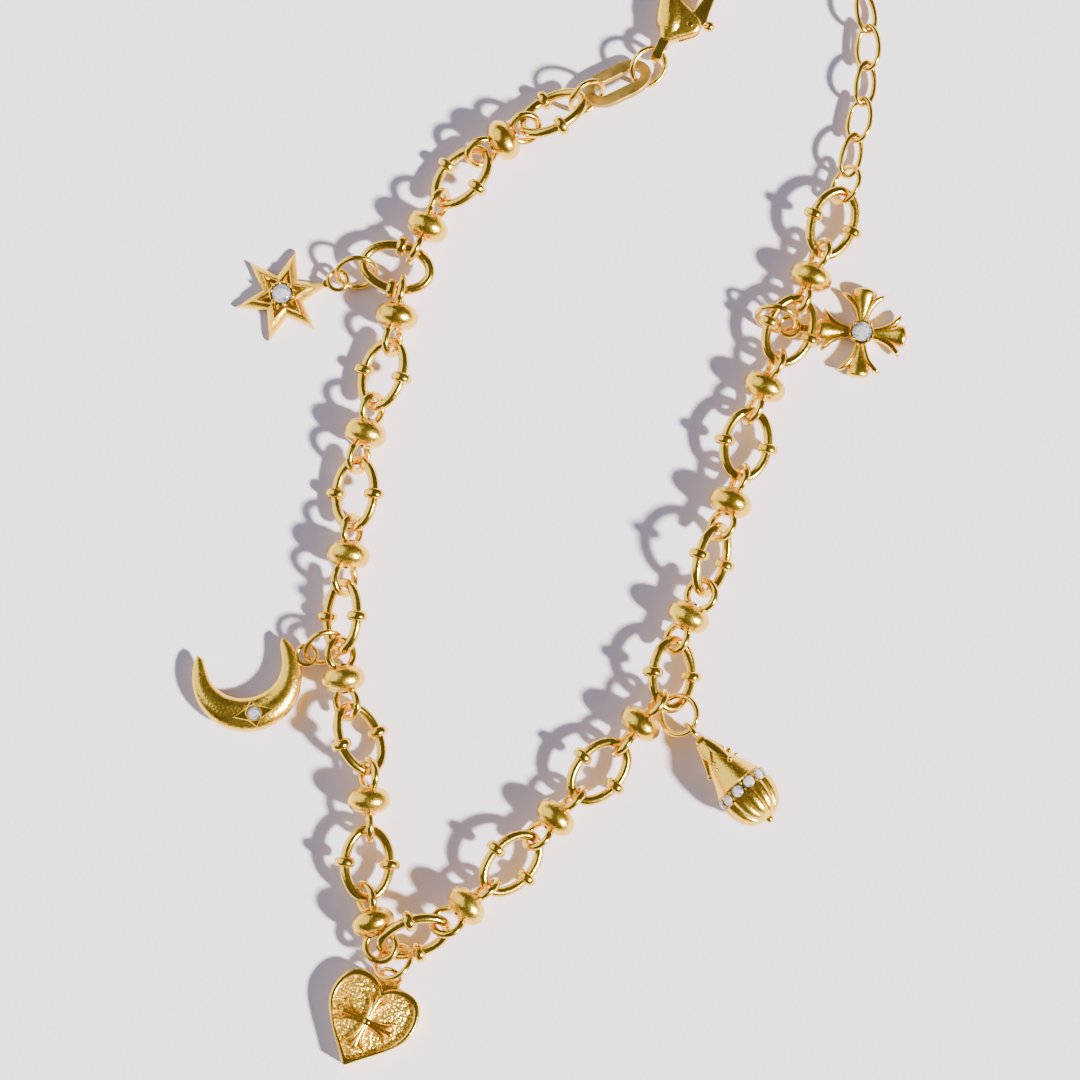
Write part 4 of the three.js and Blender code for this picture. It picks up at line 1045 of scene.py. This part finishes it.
build(
    "clasp_body",
    (cut(bar(CLASP_PATH, 24, SATIN), slot_tool), HERE),
    (cut(shell, slot_tool), HERE),
    (pin, hinge @ upright),
    (strap, spin(90, "X")),
)
print("clasp body placed at", [round(v, 1) for v in PLACES["clasp_body"].translation])

# %% [markdown]
# The lever is the one moving piece: a flat arm that closes the hook, with a thumb nub. Its outline
# is seen from its pivot, out along the outer edge, down at the tip, and back. It keeps the CAD's
# pivot, so the joint turns it about the pin.

# %% Lever
lever_outline = bezier(
    (0, 0.55),
    ((1.5, 0.25), (3.1, -0.05), (4.13, -0.29)),
    ((4.25, -0.35), (4.38, -0.45), (4.48, -0.55)),
    ((4.48, -0.7), (4.48, -0.85), (4.48, -1.01)),
    ((3.5, -0.95), (1.8, -1.05), (0.9, -1.25)),
    ((0.6, -1.3), (0.2, -0.95), (0, -0.55)),
)
lever_plate = plate([lever_outline], LEVER_THICKNESS, 0.12, POLISHED)
root = turned(rounded(LEVER_THICKNESS / 2, 0.62, 0.08), 28, POLISHED)
nub = ball(NUB_DIAMETER / 2, POLISHED)
build(
    "clasp_lever",
    (lever_plate, hinge), (root, hinge @ upright), (nub, hinge @ move(0.72, -1.6, 0)),
)
print("lever points", len(lever_outline))

# %% [markdown]
# Each charm has an eye on a short post, and its stone sits in an open seat, held by small claws or
# by a tube called a bezel. These helpers make them for any size of stone.

# %% Eyes, claws and bezels
charm_eye = wire_ring(CHARM_EYE_DIAMETER, CHARM_EYE_WIRE, POLISHED)
half_turn = spin(180, "Z")


def neck(height, bottom):
    """The short post that holds a charm's flat eye."""
    return (
        turned(rounded((height - bottom) / 2, 0.35, 0.06, 3), 20, POLISHED),
        move(NECK, 0, (height + bottom) / 2) @ upright,
    )


def ridged_star(rays, radius, notch, levels, material):
    """A star with ridged rays, from pairs of a share of its outline and a height."""
    corners = []
    for corner in range(2 * rays):
        angle = math.pi * corner / rays
        reach = notch if corner % 2 else radius
        corners.append(Vector((reach * math.cos(angle), reach * math.sin(angle), 0)))
    rings = [[c * share + Vector((0, 0, height)) for c in corners] for share, height in levels]
    return loft(rings, material)


def claws(diameter, height, count, turn):
    """Small upright posts with round tips, spaced round a stone."""
    reach = diameter / 2 + 0.14
    claw = turned(rounded(0.3, 0.2, 0.19, 5), 16, POLISHED)
    made = []
    for number in range(count):
        around = spin(turn + 360 * number / count, "Z")
        made.append((claw, around @ move(x=reach, z=height - 0.05) @ upright))
    return made


def bezel(inside, outside, bottom, top):
    """A short upright tube that a stone sits in."""
    edge = 0.07
    sections = [
        (outside, bottom), (outside, top - edge), (outside - edge, top), (inside + edge, top),
        (inside, top - edge), (inside * 0.5, top - 0.75),
    ]
    angles = angles_round(40)
    return loft([
        [(reach * math.cos(a), reach * math.sin(a), height) for a in angles] for reach, height in sections
    ], POLISHED)


print("faces of a charm's eye", len(charm_eye.polygons))

# %% [markdown]
# The star has two layers of ridged rays. Each is a skin over copies of its outline, which shrink
# as they rise to a ridge, and that gives crisp edges from ray to ray.

# %% Star charm
star_centre = STAR_RADIUS + CHARM_EYE
star_hole = turned([(0.3, 0.02), (0.31, 0.98), (3.0, 0.98), (3.01, 0.02)], 40, POLISHED)
sink = spin(-90, "Y")
star_hole_tool = merge((star_hole, sink))

# Shares of a star's outline and the height of each.
star_levels = [(0.97, 0), (1, 0.06), (1, 0.32), (0.985, 0.44), (0.955, 0.55), (0.90, 0.68), (0.80, 0.85),
               (0.65, 1.04), (0.45, 1.22), (0.2, 1.38), (0.04, STAR_HEIGHT)]
small_levels = [(1.14, 0.5), (1.14, 1.0), (1.0, 1.34), (0.90, 1.36), (0.80, 1.22), (0.04, 1.9)]
star_body = cut(ridged_star(6, STAR_RADIUS, 1.95, star_levels, SATIN), star_hole_tool)
small_star = cut(ridged_star(6, 2.35, 1.15, small_levels, POLISHED), star_hole_tool)
build(
    "star_charm",
    *[(part, move(x=star_centre) @ half_turn @ turn) for part, turn in [
        (star_body, HERE), (small_star, HERE), (bezel(0.9, 1.13, 0.5, 1.5), HERE),
        *claws(STAR_STONE, 1.6, 6, 30),
    ]],
    (charm_eye, move(z=STAR_EYE_HEIGHT)), neck(STAR_EYE_HEIGHT, 0.2),
)
build("star_stone", (brilliant(STAR_STONE), HERE), material_slot="stone")
print("star levels", len(star_levels), "and", len(small_levels))

# %% [markdown]
# The crescent is puffed, like a blown-up form between two circles. Its rings stand across it from
# horn to horn, and a boolean of two discs would leave it flat. A small star stands on its bow.

# %% Moon charm


def moon_rings(steps=64, sides=32):
    """Rings round the crescent between two circles, fuller towards its blunt horns."""
    radius, hollow, width, height = MOON_RADIUS, MOON_HOLLOW, MOON_WIDTH, MOON_HEIGHT
    offset = width - radius + hollow
    level = (radius**2 - hollow**2 + offset**2) / (2 * offset)
    tip = math.sqrt(radius**2 - level**2)
    outer_span = math.pi - math.atan2(tip, level)
    inner_span = math.pi - math.atan2(tip, level - offset)
    quarter = math.pi / 2 * 0.9
    rings = []
    for step in range(steps + 1):
        share = math.sin((2 * step / steps - 1) * quarter) / math.sin(quarter) * 0.985
        out, far_in = share * outer_span, share * inner_span
        outer = Vector((radius * math.sin(out), -radius * math.cos(out), height / 2))
        inner = Vector((hollow * math.sin(far_in), offset - hollow * math.cos(far_in), height / 2))
        fuller = (outer - inner) / 2 * (1 + 1.5 * share**4)
        half = fuller * math.sqrt(1 - max(0, (abs(share) - 0.9) / 0.0855) ** 2)
        middle = outer - fuller
        rise = height * half.length / width
        rings.append([
            middle + half * math.cos(a) + Vector((0, 0, rise * math.sin(a)))
            for a in (-2 * math.pi * side / sides for side in range(sides))
        ])
    return rings


moon_body = loft(moon_rings(), SATIN)
bow = move(y=MOON_WIDTH / 2 - MOON_RADIUS)
moon_hole = turned([(1.75, 0.02), (1.76, 0.64), (3.5, 0.64), (3.51, 0.02)], 40, POLISHED)


def moon_star_rings():
    """A four-pointed star that stands just above the moon's puffed face."""

    def ring(share, above):
        made = []
        for corner in range(8):
            angle = math.pi / 4 * corner
            reach = share * (0.80 if corner % 2 else 1.9 if corner % 4 == 0 else 1.25)
            x, y = reach * math.cos(angle), reach * math.sin(angle)
            puffed = math.sqrt(max(0, 1 - (2 * y / MOON_WIDTH) ** 2))
            made.append((x, y, MOON_HEIGHT / 2 * (1 + puffed) + above))
        return made

    return [ring(1, -0.5), ring(1, 0.07), ring(0.93, 0.12), ring(0.55, 0.05), ring(0.3, 0.05)]


moon_hole_tool = merge((moon_hole, sink))
moon_setting = cut(loft(moon_star_rings(), POLISHED, False), moon_hole_tool)
moon_cut = cut(moon_body, merge((moon_hole, bow @ sink)))
moon_eye_place = spin(MOON_EYE_TURN, "Z") @ move(x=MOON_RADIUS + CHARM_EYE - MOON_EYE_SINK)
build(
    "moon_charm",
    (moon_cut, HERE), (moon_setting, bow), (bezel(0.62, 0.76, 1.2, 2.42), bow),
    *[(part, moon_eye_place @ half_turn @ turn) for part, turn in [
        (charm_eye, move(z=MOON_EYE_HEIGHT)), neck(MOON_EYE_HEIGHT, 1.08),
    ]],
)
build("moon_stone", (brilliant(MOON_STONE), HERE), material_slot="stone")
print("faces of the moon", len(moon_cut.polygons), "and its star", len(moon_setting.polygons))

# %% [markdown]
# The heart is a plate with a raised, polished rim round a sunk, grained field. On it lies a
# plain cross of ribs. One outline, moved inwards, serves the plate, the rim and the field.

# %% Heart charm


def heart_outline(inset):
    """The heart with its notch at the origin and its point along -X."""
    half, lobe, depth = HEART_WIDTH / 2 - inset, HEART_LOBE - inset, HEART_DEPTH
    notch, tip = -inset * 1.25, inset * 1.45 - depth
    upper = bezier(
        (notch, 0),
        ((lobe * 0.75 + notch * 0.25, half * 0.12), (lobe, half * 0.3), (lobe, half * 0.52)),
        ((lobe, half * 0.85), (-0.45, half), (-depth * 0.24, half)),
        ((-depth * 0.5, half), (-depth * 0.72, half * 0.42), (tip, 0)),
    )[:-1]
    x, y = (upper[-1][0] * 0.6 + tip * 0.4, upper[-1][1] * 0.6)
    upper += [(x + (tip - x) * (t - t * t / 2), y * (1 - t)) for t in (0, 0.2, 0.4, 0.6, 0.8, 1)]
    return upper + [(x, -y) for x, y in reversed(upper[1:-1])]


def ribbed_cross(length, spread):
    """A raised cross: each arm is a straight rib between two that curve apart."""
    straight = bar([
        (0.1, 0, 0.5, 0.8), (length * 0.5, 0, 0.46, 0.8), (length * 0.9, 0, 0.7, 0.8), (length, 0, 0.3, 0.3),
    ], 20, SATIN)
    curved = bar([
        (0.2, 0.14, 0.4, 0.76), (length * 0.45, 0.30, 0.44, 0.8), (length * 0.68, 0.5, 0.46, 0.76),
        (length * 0.84, spread * 0.8, 0.38, 0.64), (length * 0.92, spread, 0.16, 0.3),
    ], 20, SATIN)
    parts = [(ball(0.5, POLISHED), HERE)]
    for arm in range(4):
        turn = spin(90 * arm, "Z")
        parts += [(straight, turn), (curved, turn), (curved, turn @ stretch(1, -1, 1))]
    return parts


field_height = HEART_THICKNESS - HEART_RECESS
rim_height = HEART_RECESS + 0.3
base = plate([heart_outline(0)], field_height, 0.12, SATIN)
grains = plate([heart_outline(0.5)], 0.06, 0.02, GRAINED, False)
rim = plate([heart_outline(0), heart_outline(0.55)], rim_height, 0.2, POLISHED)
cross_place = move(x=-HEART_DEPTH * 0.4, z=field_height + 0.1)
neck_outline = rectangle(-0.7, HEART_NECK_LENGTH, HEART_NECK_WIDTH)
heart_neck = plate([neck_outline], 1.14, 0.15, SATIN)
heart_eye_place = move(x=heart_eye_foot, z=HEART_EYE_HEIGHT) @ spin(-HEART_EYE_TILT, "Y") @ move(x=CHARM_EYE)
build(
    "heart_charm",
    (base, move(z=field_height / 2)), (grains, move(z=field_height + 0.02)),
    (rim, move(z=HEART_THICKNESS - rim_height / 2)),
    *[(part, cross_place @ turn) for part, turn in ribbed_cross(2.65, 1.05)],
    (heart_neck, move(z=0.57)), (charm_eye, heart_eye_place),
)
print("heart points", len(heart_outline(0)))

# %% [markdown]
# The bud hangs from its point: a cone with leaves over it, then a band of stones, then a fluted
# bowl. Cone and bowl are turned forms, and the flutes come from a wave in the bowl's radius.
# The cone's table gives length and radius along its axis.

# %% Bud charm
drop_end = NECK + DROP_LENGTH
bowl_start = DROP_BAND + DROP_BAND_WIDTH
seat_radius = 1.85
cone = turned([
    (NECK - 0.2, 0), (NECK - 0.2, 0.48), (NECK - 0.1, 0.55), (NECK + 0.15, 0.55),
    (NECK + 0.35, 0.5), (NECK + 1.2, 0.75), (NECK + 2.55, 1.275), (NECK + 3.9, 1.85),
    (DROP_BAND - 0.25, 2.244), (DROP_BAND - 0.06, 2.346), (DROP_BAND, 2.3),
    (DROP_BAND, seat_radius), (bowl_start, seat_radius), (bowl_start, 0),
], 48, SATIN)
bowl_length = drop_end - bowl_start - 0.35
bowl_rings = []
for row in range(25):
    angle = math.pi / 2 * row / 24 * 0.93
    along = bowl_start + bowl_length * math.sin(angle)
    radius = DROP_RADIUS * math.cos(angle) ** 0.8
    ring_points = []
    for around in angles_round(160):
        dent = abs(math.cos(6 * around)) ** 0.55
        reach = radius * (0.88 + 0.12 * dent)
        ring_points.append((along, reach * math.cos(around), reach * math.sin(around)))
    bowl_rings.append(ring_points)
bowl_rings.insert(0, [(bowl_start, y * 0.96, z * 0.96) for _, y, z in bowl_rings[0]])
bowl = loft(bowl_rings, SATIN)
leaves = []
cone_slope = math.degrees(math.atan2(0.775, 2.2))
for leaf in range(6):
    length = 2.9 if leaf % 2 else 2.1
    points = []
    for step in range(17):
        t = step / 16
        half = 0.58 * math.sin(math.pi * min(1, t * 0.80 + 0.20)) ** 0.9
        points.append([
            (length * t, half * math.cos(a), 0.17 * math.sin(a) * (1 if half > 0.02 else 0.3))
            for a in angles_round(16)
        ])
    place = spin(360 * (leaf + 0.5) / 6, "X") @ move(NECK + 0.3, 0, 0.56) @ spin(-cone_slope, "Y")
    leaves += [(loft(points, POLISHED), place), (ball(0.26, POLISHED), place @ move(length, 0, 0.04))]
    if leaf % 2 == 0:
        leaves.append((ball(0.2, POLISHED), place @ move(length + 0.75, 0, 0.02)))
build(
    "drop_charm",
    (cone, HERE), (bowl, HERE), (ball(0.38, POLISHED), move(drop_end - 0.3)),
    (charm_eye, spin(90, "X")), *leaves,
)
print("leaf parts", len(leaves))

# %% [markdown]
# A row of small stones is set round the band, with two prongs between neighbours. They are placed
# by turning one stone about the bud's axis.

# %% Bud stones
small_stone = brilliant(1.03, SMALL_STONE)
prong = ball(0.13, POLISHED)
band_start, band_end = DROP_BAND + 0.06, bowl_start - 0.06
band_profile = [(band_start, 1.91), (band_start, 2.25), (band_end, 2.25), (band_end, 1.91)]
paved = [(turned(band_profile, 48, POLISHED), HERE)]
for number in range(DROP_STONES):
    turn = spin(360 * (number + 0.5) / DROP_STONES, "X")
    paved.append((small_stone, turn @ move(DROP_BAND + DROP_BAND_WIDTH / 2, 0, 2.35)))
    between = spin(360 * number / DROP_STONES, "X")
    paved += [(prong, between @ move(DROP_BAND + x, 0, 2.36)) for x in (0.24, 0.91)]
build("drop_stones", *paved, material_slot="stone")
print("bud stones", DROP_STONES)

# %% [markdown]
# A plain cross with flared arms. Each arm is a full leaf between two slender horns, made once and
# turned four times, with a bezel and a stone over the crossing.

# %% Cross charm
# The middle leaf of an arm, along it: length and radius.
leaf_rows = [
    (0, 0.30), (0.6, 0.34), (1.2, 0.46), (1.9, 0.68), (2.5, 0.92), (2.9, 1.0), (3.15, 0.88), (3.3, 0.55),
    (3.35, 0.02),
]
middle_leaf = merge((turned(smooth_path(leaf_rows, 3), 40, SATIN), stretch(1, 1, 0.75)))

# A slender horn beside it, from the hub out to the arm's shoulder.
horn = bar([
    (0.3, 0.26, 0.40, 0.7), (1.2, 0.44, 0.50, 0.85), (2.0, 0.76, 0.56, 0.95),
    (2.6, 1.24, 0.58, 0.95), (2.9, 1.65, 0.44, 0.8), (3.02, 1.98, 0.06, 0.2),
], 20)

cross_centre = CROSS_REACH + CROSS_STEM_LENGTH + CHARM_EYE
middle_height = CROSS_THICKNESS / 2
arm_parts = []
for arm in range(4):
    turn = spin(90 * arm, "Z")
    arm_parts.append((middle_leaf, turn @ move(0.75, 0, middle_height)))
    for side in (1, -1):
        arm_parts.append((horn, turn @ move(0.45, 0, middle_height) @ stretch(1, side, 1)))
stem = plate([rectangle(0, 2.1, 0.75)], 0.6, 0.12, POLISHED)
cross_hub = bezel(0.93, 1.1, 0.02, 1.55)
build(
    "cross_charm",
    *[(part, move(x=cross_centre) @ half_turn @ turn) for part, turn in [
        *arm_parts, (cross_hub, HERE), *claws(CROSS_STONE, 1.68, 4, 45),
    ]],
    (charm_eye, move(z=CROSS_EYE_HEIGHT)), neck(CROSS_EYE_HEIGHT, 0.25),
    (stem, move(CHARM_EYE + 0.1, 0, 0.5)),
)
build("cross_stone", (brilliant(CROSS_STONE), HERE), material_slot="stone")
print("charms", list(CHARM_RINGS))

# %% [markdown]
# The bracelet lies on pale paper. A plain plane would look like empty space, so noise gives it
# a little fibre. It lies a hair below the pieces, so that no face shares its plane.

# %% Paper
paper = Graph("paper")
fibre = paper.noise(900, 5)
paper_material = paper.finish(
    Base_Color=paper.blend(fibre, (0.71, 0.665, 0.77), (0.77, 0.72, 0.83)),
    Roughness=0.9,
    Normal=paper.bump(paper.noise(2600, 4), 0.00004, 0.5),
)
paper_level = -0.00005
floor_mesh = bpy.data.meshes.new("paper")
floor_mesh.from_pydata([(x, y, paper_level) for x, y in rectangle(-1, 1, 2)], [], [(0, 1, 2, 3)])
floor_mesh.materials.append(paper_material)
floor = add("floor", floor_mesh)
print("paper", floor.name)

# %% [markdown]
# A low warm sun from the lower right with a soft edge throws the long shadows, and a wide soft
# light at the left, like a bright wall, gives the gold something pale to reflect.

# %% Lights


def lamp(name, kind, energy, colour, aim_from, aim_at=(0, 0, 0), **settings):
    data = bpy.data.lights.new(name, kind)
    data.energy = energy
    data.color = colour
    for key, value in settings.items():
        setattr(data, key, value)
    item = add(name, data)
    item.location = aim_from
    toward = Vector(aim_at) - Vector(aim_from)
    item.rotation_euler = toward.to_track_quat("-Z", "Y").to_euler()
    return item


sun = lamp("sun", "SUN", 17.0, (1.0, 0.94, 0.86), (0.74, -0.42, 0.66), angle=math.radians(5))
wall = lamp("wall", "AREA", 19.0, (0.88, 0.90, 1.0), (-1.15, 0.45, 0.75), size=1.8)
world = bpy.data.worlds.new("room")
bpy.context.scene.world = world
world.use_nodes = True
background = world.node_tree.nodes["Background"]
background.inputs["Color"].default_value = (0.56, 0.58, 0.95, 1)
background.inputs["Strength"].default_value = 0.17
print("lights", sun.name, wall.name, world.name)

# %% [markdown]
# The camera looks almost straight down from far off, as in the photo, so that the charms keep
# their outlines. Its angle follows from half the width of the view and the distance.

# %% Camera
camera_data = bpy.data.cameras.new("camera")
camera = add("camera", camera_data)
bpy.context.scene.camera = camera
target = Vector((-0.00098, -0.00454, 0.002))
distance, half_view, elevation = 0.40, 0.048, math.radians(84)
camera.location = target + distance * Vector((0, -math.cos(elevation), math.sin(elevation)))
camera.rotation_euler = (target - camera.location).to_track_quat("-Z", "Y").to_euler()
camera_data.angle = 2 * math.atan(half_view / distance)
camera_data.clip_start = 0.01

bpy.context.view_layer.update()
